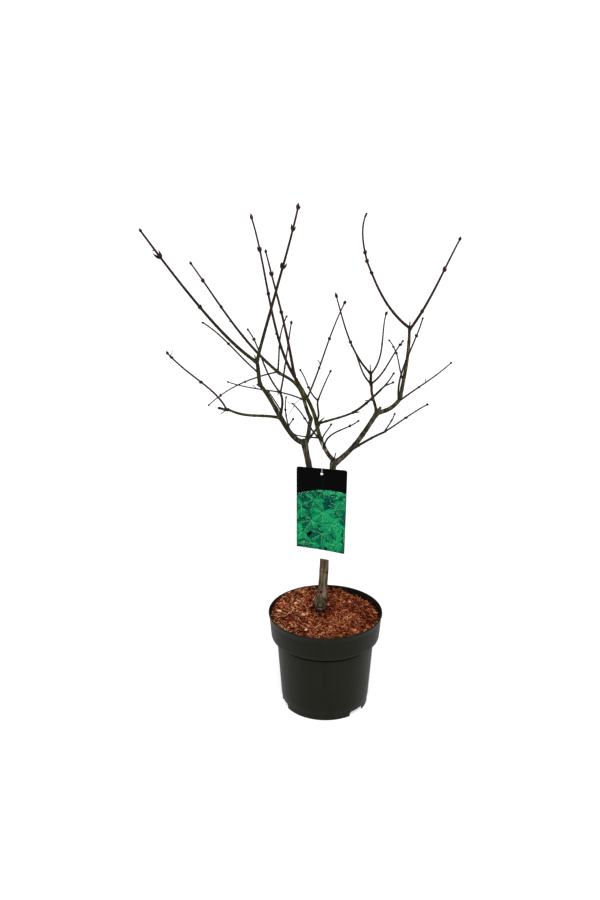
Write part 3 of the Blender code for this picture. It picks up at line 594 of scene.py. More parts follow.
def grown(carrier, share, reach, arch, sway, thick, thin, spacing):
    """A limb from its carrier's middle line, its bends and sizes in mm."""
    limb = Limb(
        carrier.point(share),
        Vector(reach) * MM,
        Vector(arch) * MM,
        Vector(sway) * MM,
        thick * MM,
        thin * MM,
        spacing,
    )
    limb.carrier = carrier
    return limb


def spurs_on(shoot, rng, limbs):
    """Short spurs at some of a shoot's nodes, leaving out any that would touch a limb or leave the crown."""
    found = []
    count = int(shoot.length() / NODE_SPACING)
    for k in range(1, count):
        chance = rng.random()
        roll = rng.uniform(0.0, math.tau)
        reach = rng.uniform(SPUR_LEAST, SPUR_MOST)
        if chance > SPUR_CHANCE:
            continue
        share = k * NODE_SPACING / shoot.length()
        heading = shoot.heading(share)
        side = heading.orthogonal().normalized()
        side.rotate(Matrix.Rotation(roll, 3, heading))
        way = heading * math.cos(SPUR_TILT) + side * math.sin(SPUR_TILT)
        thick = SPUR_THICK * shoot.radius(share)
        thin = SPUR_TAPER * thick
        spur = Limb(shoot.point(share), way * reach, UP * SPUR_ARCH * reach, (0, 0, 0), thick, thin, reach)
        spur.carrier = shoot
        tip = spur.point(1.0)
        inside = math.hypot(tip.x, tip.y) < CROWN_RADIUS and tip.z < CROWN_TOP
        if inside and all(distance_to(limb, tip) > SPUR_CLEAR for limb in limbs.values()):
            found.append(spur)
    return found


def noise_at(place, scale, offset=0.0):
    return noise.noise(Vector((place.x * scale[0] + offset, place.y * scale[1], place.z * scale[2])))


# Materials


class Look:
    """Builds one procedural material, node by node."""

    def __init__(self, name, roughness, specular=0.5):
        self.material = bpy.data.materials.new(name)
        self.material.use_nodes = True
        self.tree = self.material.node_tree
        self.shader = self.tree.nodes["Principled BSDF"]
        self.shader.inputs["Roughness"].default_value = roughness
        self.shader.inputs["Specular IOR Level"].default_value = specular
        self.coordinates = self.tree.nodes.new("ShaderNodeTexCoord")

    def node(self, kind, **values):
        made = self.tree.nodes.new(kind)
        for name, value in values.items():
            setattr(made, name, value)
        return made

    def link(self, start, end):
        self.tree.links.new(start, end)

    def scaled(self, scale):
        mapping = self.node("ShaderNodeMapping")
        mapping.inputs["Scale"].default_value = scale
        self.link(self.coordinates.outputs["Object"], mapping.inputs["Vector"])
        return mapping.outputs["Vector"]

    def noise(self, scale, detail=4.0, rough=0.55):
        made = self.node("ShaderNodeTexNoise")
        self.link(self.scaled(scale), made.inputs["Vector"])
        made.inputs["Scale"].default_value = 1.0
        made.inputs["Detail"].default_value = detail
        made.inputs["Roughness"].default_value = rough
        return made.outputs["Fac"]

    def cells(self, scale):
        made = self.node("ShaderNodeTexVoronoi")
        self.link(self.scaled(scale), made.inputs["Vector"])
        made.inputs["Scale"].default_value = 1.0
        return made.outputs["Distance"]

    def ramp(self, value, stops):
        """Colours, or greys, at stated levels of a value."""
        made = self.node("ShaderNodeValToRGB")
        band = made.color_ramp
        while len(band.elements) < len(stops):
            band.elements.new(0.5)
        for element, (level, colour) in zip(band.elements, stops):
            element.position = level
            element.color = (*colour, 1.0) if isinstance(colour, tuple) else (colour, colour, colour, 1.0)
        self.link(value, made.inputs["Fac"])
        return made.outputs["Color"]

    def mixed(self, share, under, over, mode="MIX"):
        made = self.node("ShaderNodeMix", data_type="RGBA", blend_type=mode)
        sockets = [socket for socket in made.inputs if socket.type == "RGBA"]
        if isinstance(share, float):
            made.inputs["Factor"].default_value = share
        else:
            self.link(share, made.inputs["Factor"])
        for socket, value in zip(sockets, (under, over)):
            if isinstance(value, tuple):
                socket.default_value = (*value, 1.0)
            else:
                self.link(value, socket)
        return next(socket for socket in made.outputs if socket.type == "RGBA")

    def rough_between(self, value, low, high):
        made = self.node("ShaderNodeMapRange")
        made.inputs["To Min"].default_value = low
        made.inputs["To Max"].default_value = high
        self.link(value, made.inputs["Value"])
        self.link(made.outputs["Result"], self.shader.inputs["Roughness"])

    def bumped(self, value, distance, strength=1.0, under=None):
        made = self.node("ShaderNodeBump")
        made.inputs["Strength"].default_value = strength
        made.inputs["Distance"].default_value = distance
        self.link(value, made.inputs["Height"])
        if under is not None:
            self.link(under, made.inputs["Normal"])
        self.link(made.outputs["Normal"], self.shader.inputs["Normal"])
        return made.outputs["Normal"]

    def coloured(self, colour):
        if isinstance(colour, tuple):
            self.shader.inputs["Base Color"].default_value = (*colour, 1.0)
        else:
            self.link(colour, self.shader.inputs["Base Color"])
        return self.material


def shade(colour, factor):
    return tuple(channel * factor for channel in colour)


def bark_look(name, colour, moss, speck, fissure, along):
    """Bark with long fissures, pale and dark patches, specks, and a greenish film in places."""
    look = Look(name, 0.85, 0.05)
    streaks = look.noise((430.0, 430.0, 95.0), 6.0, 0.68)
    patches = look.noise((52.0, 52.0, 34.0), 3.0)
    worn_places = look.noise((150.0, 150.0, along), 5.0, 0.62)
    dark_places = look.noise((117.0, 117.0, 0.8 * along), 5.0, 0.62)
    grain = look.noise((1500.0, 1500.0, 700.0), 3.0, 0.7)
    dots = look.cells((520.0, 520.0, 330.0))
    lined = look.ramp(streaks, [(0.34, shade(colour, 0.30)), (0.49, colour), (0.68, shade(colour, 1.9))])
    film = look.ramp(patches, [(0.48, 0.0), (0.68, 1.0)])
    filmed = look.mixed(film, lined, look.mixed(0.6, lined, moss))
    worn = look.ramp(worn_places, [(0.50, 0.0), (0.64, 0.85)])
    patched = look.mixed(worn, filmed, speck)
    weathered = look.ramp(dark_places, [(0.47, 0.0), (0.60, 0.80)])
    darkened = look.mixed(weathered, patched, shade(colour, 0.28))
    spots = look.ramp(dots, [(0.08, 1.0), (0.16, 0.0)])
    spotted = look.mixed(spots, darkened, shade(speck, 1.2))
    fine = look.ramp(grain, [(0.30, 0.62), (0.70, 1.25)])
    look.rough_between(streaks, 0.95, 0.7)
    first = look.bumped(streaks, fissure)
    look.bumped(grain, 0.25 * fissure, 0.8, first)
    return look.coloured(look.mixed(1.0, spotted, fine, "MULTIPLY"))


def young_look(name, colour, sheen_roughness=0.5):
    """Smooth young bark, with fine streaks and dots."""
    look = Look(name, sheen_roughness, 0.09)
    streaks = look.noise((600.0, 600.0, 220.0), 4.0, 0.6)
    grain = look.noise((1900.0, 1900.0, 1900.0), 2.0)
    tinted = look.ramp(streaks, [(0.32, shade(colour, 0.5)), (0.52, colour), (0.72, shade(colour, 1.8))])
    look.rough_between(grain, sheen_roughness - 0.1, sheen_roughness + 0.18)
    look.bumped(streaks, 0.00022)
    return look.coloured(tinted)


def shred_look(name, colour):
    """One tone of bark shred, with its grain."""
    look = Look(name, 0.85, 0.04)
    grain = look.noise((900.0, 900.0, 900.0), 4.0, 0.7)
    tinted = look.ramp(grain, [(0.28, shade(colour, 0.5)), (0.52, colour), (0.75, shade(colour, 1.45))])
    look.rough_between(grain, 0.95, 0.7)
    look.bumped(grain, 0.0004)
    return look.coloured(tinted)


def pot_look():
    """Very dark green-grey moulded plastic with faint upright streaks, dust and scuffs."""
    look = Look("pot_plastic", 0.5, 0.11)
    look.shader.inputs["Specular Tint"].default_value = (1.0, 0.98, 0.84, 1.0)
    streaks = look.noise((46.0, 46.0, 5.0), 4.0, 0.6)
    dust = look.noise((190.0, 190.0, 150.0), 5.0, 0.7)
    skin = look.noise((1300.0, 1300.0, 1300.0), 3.0)
    scuffs = look.noise((420.0, 420.0, 16.0), 3.0, 0.6)
    base = look.ramp(streaks, [(0.30, (0.0034, 0.0035, 0.0018)), (0.70, (0.0058, 0.0062, 0.0036))])
    marks = look.ramp(dust, [(0.58, 0.0), (0.80, 0.22)])
    dusted = look.mixed(marks, base, (0.034, 0.032, 0.023))
    rubbed = look.ramp(scuffs, [(0.66, 0.0), (0.80, 0.16)])
    look.rough_between(dust, 0.40, 0.60)
    look.bumped(skin, 0.00006)
    return look.coloured(look.mixed(rubbed, dusted, (0.045, 0.045, 0.036)))


# The trunk and boughs


def detailed_radius(limb, t):
    """The limb's radius with the collar at its foot and the swellings at its nodes."""
    plain = limb.radius(t)
    along = t * limb.length()
    collar = 0.0
    if limb.carrier is not None:
        collar = COLLAR_SHARE * bump_near(along - limb.foot_depth, COLLAR_SPREAD * limb.thick)
    bumps = [size * bump_near((t - share) * limb.length(), spread) for share, size, spread in limb.swellings]
    return plain * (1.0 + collar) + sum(bumps)


def limb_rings(limb, sides, spacing):
    count = max(4, math.ceil(limb.length() / spacing))
    shares = [k / count for k in range(count + 1)]
    pairs = frames_along([limb.heading(share) for share in shares])
    rings = []
    for share, pair in zip(shares, pairs):
        rings.append(ring_places(limb.point(share), pair, detailed_radius(limb, share), sides))
    return rings, shares


def wood_solid(pile, limb, sides, spacing, cut=False):
    rings = limb_rings(limb, sides, spacing)[0]
    headings = [limb.heading(share) for share in (0.0, 1.0)]
    below = FOOT_BELOW if limb.carrier is None else 0.9 * detailed_radius(limb, 0.0)
    start = limb.point(0.0) - headings[0] * below
    tip = None if cut else limb.point(1.0) + headings[1] * 0.75 * detailed_radius(limb, 1.0)
    pile.add_rings(rings, [0] * len(rings), start, tip)


def grow_wood():
    trunk = Trunk(TRUNK_FOOT, TRUNK_REACH, TRUNK_ARCH, (0, 0, 0), TRUNK_THICK, TRUNK_THIN, TRUNK_SPACING)
    limbs = {"trunk": trunk}
    for name, (carrier, share, reach, arch, sway, thick, thin) in BOUGHS.items():
        limb = grown(limbs[carrier], share, reach, arch, sway, thick, thin, BOUGH_SPACING)
        limb.foot_depth = 0.0 if share >= 1.0 else limbs[carrier].radius(share)
        if share < 1.0:
            limbs[carrier].swellings.append((share, 0.16 * thick * MM + 0.5 * MM, 1.8 * thick * MM))
        limbs[name] = limb
    return limbs


def scars_on(limb, rng):
    """Ring scars of old nodes, an uneven step apart."""
    along = rng.uniform(*SCAR_FROM)
    while along < limb.length() - SCAR_END:
        size = rng.uniform(*SCAR_RISE) * MM
        limb.swellings.append((along / limb.length(), size, rng.uniform(*SCAR_SPREAD) * MM))
        along += rng.uniform(*SCAR_STEP)


SCAR_FROM = (0.015, 0.030)
SCAR_STEP = (0.026, 0.050)
SCAR_RISE = (0.25, 0.55)
SCAR_SPREAD = (1.6, 2.6)
SCAR_END = 0.012
TRUNK_SIDES = 40
BOUGH_SIDES = 28
STUB_SIDES = 16
BOUGH_RING_STEP = 0.0018
STUB_RING_STEP = 0.0015
SAMPLE_STEP = 0.003
WOOD_VOXEL = 0.00112
SKIN_RISE = 0.42 * MM
TRUNK_RISE = 0.65 * MM
TRUNK_TONE = 0.2
RIDGE_DEPTH = 0.32
RIDGE_STRETCH = 0.16
RIDGE_SCALE = (620.0, 620.0, 620.0)
LUMP_DEPTH = 0.55
LUMP_SCALE = (70.0, 70.0, 45.0)
GRIT_DEPTH = 0.10
GRIT_SCALE = (1100.0, 1100.0, 1100.0)
FOOT_LUMP_DEPTH = 1.5
FOOT_LUMP_SCALE = (120.0, 120.0, 90.0)
FOOT_LUMP_TOP = 0.05
FULL_RELIEF_RADIUS = 0.010
GRAFT_TOP = 0.038
BLOTCH_SCALE = (110.0, 110.0, 85.0)
LIP_RISE = 0.008
LIP_HEIGHT = 0.0022
KNOT_PLACE = Vector((-0.0118, 0.0215, 0.297))
KNOT_RADIUS = 0.0048
KNOT_DEPTH = 0.0022
MARK_SHARE = 0.62
WOOD_TONES = {
    "trunk": (0.0, 0.15),
    "left_stem": (0.1, 1.0),
    "right_stem": (0.1, 1.0),
    "left_bough": (1.2, 2.6),
    "low_left_bough": (2.3, 2.8),
    "inner_bough_lower": (1.3, 1.7),
    "inner_bough_upper": (1.8, 2.9),
    "middle_bough_lower": (1.2, 2.9),
    "middle_bough_upper": (2.9, 3.6),
    "middle_right_bough": (1.9, 1.7),
    "right_bough": (1.1, 1.7),
    "right_outer_bough_lower": (1.9, 2.4),
    "right_outer_bough_upper": (1.6, 4.3),
    "right_inner_bough": (3.6, 4.0),
}

WOOD_LOOKS = [
    ("trunk_bark", (0.088, 0.062, 0.036), (0.050, 0.043, 0.022), (0.230, 0.175, 0.118), 0.0009, 20.0),
    ("stem_bark", (0.024, 0.021, 0.014), (0.024, 0.025, 0.010), (0.165, 0.143, 0.105), 0.0007, 30.0),
    ("grey_olive_bark", (0.021, 0.019, 0.010), (0.026, 0.028, 0.007), (0.125, 0.112, 0.070), 0.0005, 48.0),
    ("olive_bark", (0.034, 0.034, 0.006), (0.036, 0.044, 0.005), (0.140, 0.135, 0.045), 0.0004, 60.0),
    ("red_olive_bark", (0.028, 0.015, 0.008), (0.022, 0.019, 0.006), (0.110, 0.062, 0.044), 0.0003, 60.0),
    ("graft_moss", (0.026, 0.026, 0.012), (0.018, 0.022, 0.008), (0.12, 0.11, 0.06), 0.0009, 90.0),
    ("graft_pale", (0.300, 0.245, 0.165), (0.200, 0.170, 0.100), (0.40, 0.33, 0.23), 0.0008, 90.0),
    # near-black: used for the dark nodes on the boughs, and as painted shade in the trunk's knot hole
    ("dark_nodes_and_knot_hole_shade", (0.008, 0.006, 0.004), (0.006, 0.006, 0.003), (0.014, 0.011, 0.008), 0.0005, 90.0),
]
# pale knobs and dark nodes on the boughs: limb, share of the way up it, reach (mm), tone
MARKS = [
    ("middle_bough_lower", 0.40, 7, 6),
    ("right_bough", 0.99, 6, 6),
    ("left_stem", 0.80, 4, 6),
    ("right_stem", 0.97, 6, 6),
    ("right_bough", 0.30, 7, 6),
    ("right_bough", 0.55, 6, 1),
    ("left_stem", 0.99, 7, 7),
    ("middle_bough_upper", 0.06, 6, 7),
    ("inner_bough_lower", 0.30, 5, 7),
    ("left_bough", 0.30, 5, 7),
    ("left_bough", 0.99, 5, 7),
    ("right_outer_bough_lower", 0.99, 6, 7),
    ("right_outer_bough_upper", 0.98, 5, 7),
    ("right_inner_bough", 0.97, 4, 7),
]
BARK_TONES = 5
MOSS_TONE = 5
PALE_TONE = 6
# the knot hole's near-black tone is painted shade
HOLE_SHADE_TONE = 7


def build_wood(limbs, rng):
    """One skin over the trunk and boughs, joined by a remesh, with the bark's relief pushed into it."""
    pile = Pile()
    for name, limb in limbs.items():
        if name != "trunk":
            scars_on(limb, rng)
        sides = TRUNK_SIDES if name == "trunk" else BOUGH_SIDES
        wood_solid(pile, limb, sides, BOUGH_RING_STEP)
    stubs = []
    for carrier, share, reach, thick, thin in STUBS:
        stub = grown(limbs[carrier], share, reach, (0, 0, 0), (0, 0, 0), thick, thin, BOUGH_SPACING)
        stub.foot_depth = 0.6 * limbs[carrier].radius(share)
        wood_solid(pile, stub, STUB_SIDES, STUB_RING_STEP, cut=True)
        stubs.append((WOOD_TONES[carrier], share, stub))
    solid = pile.object("trunk_and_boughs", [])
    remesh = solid.modifiers.new("Join", "REMESH")
    remesh.mode = "VOXEL"
    remesh.voxel_size = WOOD_VOXEL
    smooth = solid.modifiers.new("Soften", "SMOOTH")
    smooth.factor = 0.5
    smooth.iterations = 3
    dress_wood(applied(solid), limbs, stubs, rng)
    return solid


def wood_samples(limbs, stubs):
    """Points along every limb's middle line, to tell which limb a place on the skin belongs to."""
    samples = []
    for name, limb in limbs.items():
        count = math.ceil(limb.length() / SAMPLE_STEP)
        for k in range(count + 1):
            share = k / count
            low, high = WOOD_TONES[name]
            heading = limb.heading(share)
            samples.append((limb.point(share), heading, low + (high - low) * share, limb.radius(share)))
    for (low, high), share, stub in stubs:
        for k in range(1, 5):
            samples.append((stub.point(k / 4), stub.heading(k / 4), low + (high - low) * share, stub.thick))
    return samples


def trunk_tone(place, rng):
    """The trunk's tone at a place: mossy blotches and a pale lip round the graft, and painted shade in the
    knot hole.
    """
    rise = place.z - GROUND
    blotch = noise_at(place, BLOTCH_SCALE, 7.0) + rng.uniform(-0.12, 0.12)
    # the knot hole is painted near-black as shade
    if (place - KNOT_PLACE).length < 0.8 * KNOT_RADIUS:
        return HOLE_SHADE_TONE
    if abs(rise - LIP_RISE - 0.004 * blotch) < LIP_HEIGHT and blotch > -0.25:
        return PALE_TONE
    if rise < GRAFT_TOP and blotch > 0.05 + 0.30 * abs(rise - GRAFT_HEIGHT) / GRAFT_TOP:
        return MOSS_TONE
    return 1 if blotch > 0.34 else 0


def skin_rise(place, heading, tone, radius):
    """How far the bark stands out at a place on the skin, with its ridges, lumps, grit and knot hole."""
    along = place.dot(heading)
    flat = place - heading * along
    ridge = noise_at(flat + heading * along * RIDGE_STRETCH, RIDGE_SCALE)
    lumps = noise_at(place, LUMP_SCALE, 3.0)
    grit = noise_at(place, GRIT_SCALE, 9.0)
    rough = min(1.0, radius / FULL_RELIEF_RADIUS)
    fine = (RIDGE_DEPTH * rough * ridge + GRIT_DEPTH * grit) * MM
    push = fine + LUMP_DEPTH * rough * lumps * MM + SKIN_RISE
    low = max(0.0, 1.0 - (place.z - GROUND) / FOOT_LUMP_TOP) if tone < TRUNK_TONE else 0.0
    push += FOOT_LUMP_DEPTH * MM * low * noise_at(place, FOOT_LUMP_SCALE, 5.0)
    push += TRUNK_RISE * (1.0 - low) * min(1.0, max(0.0, 1.5 - 2.5 * tone))
    return push - KNOT_DEPTH * bump_near((place - KNOT_PLACE).length, KNOT_RADIUS)


def dress_wood(mesh, limbs, stubs, rng):
    """Pushes the relief into the skin and deals out the bark's tones along the limbs."""
    samples = wood_samples(limbs, stubs)
    tree = KDTree(len(samples))
    for k, sample in enumerate(samples):
        tree.insert(sample[0], k)
    tree.balance()
    tones = [0.0] * len(mesh.vertices)
    moved = []
    for vertex in mesh.vertices:
        place = vertex.co.copy()
        heading, tone, radius = samples[tree.find(place)[1]][1:]
        tones[vertex.index] = tone
        moved.append(place + vertex.normal * skin_rise(place, heading, tone, radius))
    for vertex, place in zip(mesh.vertices, moved):
        vertex.co = place
    for sizes in WOOD_LOOKS:
        mesh.materials.append(bark_look(*sizes))
    marks = [(limbs[name].point(share), reach * MM, tone) for name, share, reach, tone in MARKS]
    looks = []
    for polygon in mesh.polygons:
        tone = tones[polygon.vertices[0]]
        mark = next((mark for place, reach, mark in marks if (polygon.center - place).length < reach), None)
        if mark is not None and rng.random() < MARK_SHARE:
            looks.append(mark)
        elif tone < TRUNK_TONE:
            looks.append(trunk_tone(polygon.center, rng))
        else:
            looks.append(min(BARK_TONES - 1, max(0, round(tone + rng.uniform(-0.45, 0.45)))))
    mesh.polygons.foreach_set("material_index", looks)
    mesh.shade_smooth()
    mesh.update()


# Twigs and buds

TWIG_LOOKS = [
    ("twig_olive", (0.020, 0.019, 0.006)),
    ("twig_brown", (0.015, 0.011, 0.005)),
    ("twig_red_brown", (0.019, 0.008, 0.005)),
    ("twig_dark_red", (0.024, 0.006, 0.005)),
    ("twig_purple", (0.010, 0.004, 0.005)),
]
BUD_LOOKS = [
    ("bud_red", (0.036, 0.009, 0.007)),
    ("bud_dark", (0.010, 0.004, 0.004)),
    ("bud_brown", (0.030, 0.013, 0.008)),
]

# a bud's section: share of its length, share of its width
BUD_PROFILE = [(0.0, 0.55), (0.10, 0.74), (0.26, 1.0), (0.44, 0.98), (0.62, 0.74), (0.78, 0.46), (0.91, 0.20)]

# mass: the tone of its wood at the foot and at the tips
TWIG_TONES = {
    "left_top_twigs": (0.0, 3.4),
    "low_left_twigs": (1.0, 4.0),
    "left_inner_twigs": (1.0, 3.6),
    "left_low_twigs": (1.0, 2.6),
    "back_long_twig": (1.0, 3.0),
    "inner_top_twigs": (0.3, 3.8),
    "middle_top_twigs": (2.2, 3.0),
    "middle_right_twigs": (0.8, 3.4),
    "knot_left_twigs": (1.0, 3.0),
    "knot_right_twigs": (1.0, 3.0),
    "middle_front_twigs": (1.0, 3.4),
    "front_right_twigs": (1.0, 3.6),
    "low_right_twigs": (1.0, 3.4),
    "right_inner_twigs": (1.0, 3.6),
    "right_low_twig": (1.0, 3.2),
    "right_rising_twig": (1.0, 3.2),
    "right_short_twig": (1.0, 3.2),
    "right_top_twigs": (2.2, 3.8),
}


def twig_solid(pile, shoot, tones, sides=TWIG_SIDES, spacing=TWIG_RING_STEP):
    """A twig's skin, each stretch between two nodes in one tone."""
    rings, shares = limb_rings(shoot, sides, spacing)
    low, high = tones
    looks = []
    for share in shares:
        joint = max(node for node in shoot.joints if node <= share + 1e-6)
        tone = round(low + (high - low) * (0.5 * joint + 0.5 * share))
        looks.append(min(len(TWIG_LOOKS) - 1, max(0, tone)))
    tip = shoot.point(1.0) + shoot.heading(1.0) * 0.8 * shoot.thin
    pile.add_rings(rings, looks, shoot.point(0.0), tip)


def bud_solid(pile, place, way, length, width, look, bend=None):
    """One pointed bud: a short neck, a full middle and a tip that may curve."""
    pair = frames_along([way])[0]
    bend = bend or Vector()
    rings = []
    for share, swell in BUD_PROFILE:
        centre = place + way * (length * share) + bend * share * share
        rings.append(ring_places(centre, pair, 0.5 * width * swell, BUD_SIDES))
    tip = place + way * length + bend
    pile.add_rings(rings, [look] * len(rings), place - way * 0.15 * length, tip)


def bud_pair(buds, shoot, share, length, roll, rng):
    """Two slender buds facing each other across a node, in a V that leans in towards the shoot's tip."""
    heading = shoot.heading(share)
    side = heading.cross(Vector((0.0, 1.0, 0.0))).normalized()
    turned_by = STRONG_TURN * math.sin(roll) if length >= STRONG_BUD else roll
    side.rotate(Matrix.Rotation(turned_by, 3, heading))
    for turn in (1.0, -1.0):
        tilt = math.radians(rng.uniform(*BUD_LEAN))
        size = length * MM * rng.uniform(0.85, 1.1)
        way = heading * math.cos(tilt) + side * (turn * math.sin(tilt))
        start = shoot.point(share) + side * (turn * 0.6 * shoot.radius(share)) - heading * 0.1 * size
        bend = heading * 0.10 * size - side * (turn * 0.16 * size)
        look = rng.choice((0, 0, 1, 2))
        bud_solid(buds, start, way, size, 0.15 * size + 2.9 * MM, look, bend)


def end_bud(buds, shoot, length, rng):
    """The bud at a shoot's tip, with two small ones beside it on a strong shoot."""
    heading = shoot.heading(1.0)
    size = length * MM
    tip = shoot.point(1.0) - heading * END_BUD_SINK * size
    side = heading.orthogonal().normalized()
    side.rotate(Matrix.Rotation(rng.uniform(0.0, math.tau), 3, heading))
    bend = side * 0.12 * size
    tone = rng.choice((0, 1, 1)) if length > STRONG_BUD else 1
    plump = 4.0 * MM if length > SPUR_BUD else 2.2 * MM
    bud_solid(buds, tip, heading, size, 0.26 * size + plump, tone, bend)
    if length > STRONG_BUD:
        for turn in (1.0, -1.0):
            tilt = math.radians(rng.uniform(*SIDE_BUD_LEAN))
            way = heading * math.cos(tilt) + side * (turn * math.sin(tilt))
            bud_solid(buds, tip, way, 0.70 * size, 0.18 * size + 2.0 * MM, rng.choice((0, 1)))


def node_swellings(shoot, pairs):
    for share, length in pairs:
        shoot.swellings.append((share, 0.045 * length * MM + 0.25 * MM, 0.0020))


def extra_nodes(shoot, rng):
    """Ring scars near a shoot's foot, where its first nodes lie close together."""
    along = FIRST_SCAR
    while along < SCARRED_SHARE * shoot.length():
        shoot.swellings.append((along / shoot.length(), rng.uniform(0.15, 0.30) * MM, 1.3 * MM))
        along += rng.uniform(0.010, 0.018)


def build_twigs(limbs, rng):
    """Every mass of twigs, its spurs by the source's rule, then finer twigs and all of the buds."""
    twigs = Pile()
    buds = Pile()
    for number, (mass, shoots) in enumerate(MASSES.items()):
        rule = random.Random(SEED + number)
        grown_here = {}
        for key, carrier, share, reach, arch, sway, thick, thin in shoots:
            holder = limbs[carrier] if key == "stem" else grown_here[carrier]
            sizes = [BARK_GAIN * radius + BARK_SKIN for radius in (thick, thin)]
            shoot = grown(holder, share, reach, arch, sway, *sizes, TWIG_SPACING)
            shoot.foot_depth = 0.0 if share >= 1.0 else 0.9 * holder.radius(share)
            grown_here[key] = shoot
            pairs, end = BUDS.get(f"{mass}.{key}", ([], END_BUD))
            spurs = spurs_on(shoot, rule, limbs)
            carries = any(other[1] == key for other in shoots if other[0] != "stem")
            shoot.bent_at([node for node, length in pairs], rng, 0.0 if carries else 0.9 * MM)
            node_swellings(shoot, pairs)
            extra_nodes(shoot, rng)
            foot_tone, tip_tone = TWIG_TONES[mass]
            if key != "stem":
                foot_tone += 0.3
            ends_cut = carries and thin > 1.8
            twig_solid(twigs, shoot, (foot_tone, 0.5 * (foot_tone + tip_tone) if carries else tip_tone))
            roll = rng.uniform(0.0, math.pi)
            for node, length in pairs:
                bud_pair(buds, shoot, node, length, roll, rng)
                roll += math.pi / 2
            if not ends_cut:
                end_bud(buds, shoot, end or END_BUD, rng)
            for spur in spurs:
                spur.foot_depth = 0.7 * shoot.thin
                twig_solid(twigs, spur, (tip_tone - 0.8, tip_tone), SPUR_SIDES, SPUR_RING_STEP)
                end_bud(buds, spur, SPUR_BUD, rng)
        for owner, key, share, reach, thick, thin in FINE_TWIGS:
            if owner == mass:
                holder = grown_here[key]
                twig = grown(holder, share, reach, (0, 0, 0), (0, 0, 0), thick, thin, TWIG_SPACING)
                twig.foot_depth = 0.7 * holder.radius(share)
                twig_solid(twigs, twig, FINE_TWIG_TONES, SPUR_SIDES, SPUR_RING_STEP)
    return twigs, buds


# The pot


def pot_profile():
    """The pot's section, from the underside's middle, up the outside, over the lip and down the inside."""
    recess = UNDERSIDE_RECESS
    profile = [
        (0.0, recess),
        (0.030, recess),
        (0.034, recess + 0.0008),
        (0.080, recess + 0.0008),
        (0.084, recess),
        (POT_FOOT_RADIUS - 0.0034, recess),
        (POT_FOOT_RADIUS - 0.0026, 0.0),
        (POT_FOOT_RADIUS - 0.0014, 0.0),
        (POT_FOOT_RADIUS - 0.0005, 0.0006),
        (POT_FOOT_RADIUS, 0.0020),
        (POT_FOOT_RADIUS + 0.0004, POT_FOOT_HEIGHT - 0.001),
        (POT_FOOT_RADIUS + 0.0008, POT_FOOT_HEIGHT + 0.001),
        (POT_BODY_FOOT_RADIUS - 0.0004, POT_FOOT_HEIGHT + 0.0022),
        (POT_BODY_FOOT_RADIUS, POT_FOOT_HEIGHT + POT_BODY_RISE),
    ]
    rise = POT_BAND_FOOT - POT_FOOT_HEIGHT - POT_BODY_SHORT
    for k in range(1, POT_BODY_STEPS):
        share = k / POT_BODY_STEPS
        radius = POT_BODY_FOOT_RADIUS + (POT_BODY_TOP_RADIUS - POT_BODY_FOOT_RADIUS) * share
        profile.append((radius, POT_FOOT_HEIGHT + POT_BODY_RISE + rise * share))
    return profile + [
        (POT_BODY_TOP_RADIUS - 0.0003, POT_BAND_FOOT - 0.0122),
        (POT_BODY_TOP_RADIUS - GROOVE_DEPTH, POT_BAND_FOOT - 0.0114),
        (POT_BODY_TOP_RADIUS - GROOVE_DEPTH, POT_BAND_FOOT - 0.0082),
        (POT_BODY_TOP_RADIUS, POT_BAND_FOOT - 0.0070),
        (POT_BODY_TOP_RADIUS + 0.0004, POT_BAND_FOOT - 0.0010),
        (POT_BODY_TOP_RADIUS + 0.0030, POT_BAND_FOOT + 0.0004),
        (POT_BAND_FOOT_RADIUS - 0.0022, POT_BAND_FOOT + 0.0002),
        (POT_BAND_FOOT_RADIUS - 0.0006, POT_BAND_FOOT + 0.0006),
        (POT_BAND_FOOT_RADIUS, POT_BAND_FOOT + 0.0020),
        (POT_BAND_FOOT_RADIUS + 0.0008, POT_BAND_FOOT + 0.0100),
        (POT_RIM_RADIUS - 0.0030, POT_HEIGHT - 0.0180),
        (POT_RIM_RADIUS - 0.0020, POT_HEIGHT - POT_LIP - 0.0010),
        (POT_RIM_RADIUS - 0.0012, POT_HEIGHT - POT_LIP - 0.0002),
        (POT_RIM_RADIUS - 0.0002, POT_HEIGHT - POT_LIP + 0.0006),
        (POT_RIM_RADIUS, POT_HEIGHT - POT_LIP + 0.0018),
        (POT_RIM_RADIUS - 0.0001, POT_HEIGHT - 0.0010),
        (POT_RIM_RADIUS - 0.0006, POT_HEIGHT - 0.0002),
        (POT_RIM_RADIUS - 0.0014, POT_HEIGHT),
        (POT_RIM_RADIUS - POT_WALL - 0.0002, POT_HEIGHT - 0.0002),
        (POT_RIM_RADIUS - POT_WALL - 0.0008, POT_HEIGHT - 0.0010),
        (POT_RIM_RADIUS - POT_WALL - 0.0014, POT_HEIGHT - POT_LIP),
        (POT_BAND_FOOT_RADIUS - POT_WALL, POT_BAND_FOOT + 0.0040),
        (POT_BODY_TOP_RADIUS - POT_WALL - 0.0016, POT_BAND_FOOT + 0.0015),
        (POT_BODY_FOOT_RADIUS - POT_WALL - 0.0022, POT_FLOOR),
        (0.0, POT_FLOOR),
    ]


def turned(profile, sides):
    """A closed solid of revolution. The profile runs from the axis, round and back to the axis."""
    pile = Pile()
    turns = [math.tau * k / sides for k in range(sides)]
    rings = []
    for radius, height in profile[1:-1]:
        rings.append([Vector((radius * math.cos(turn), radius * math.sin(turn), height)) for turn in turns])
    foot = Vector((0.0, 0.0, profile[0][1]))
    tip = Vector((0.0, 0.0, profile[-1][1]))
    pile.add_rings(rings, [0] * len(rings), foot, tip)
    return pile


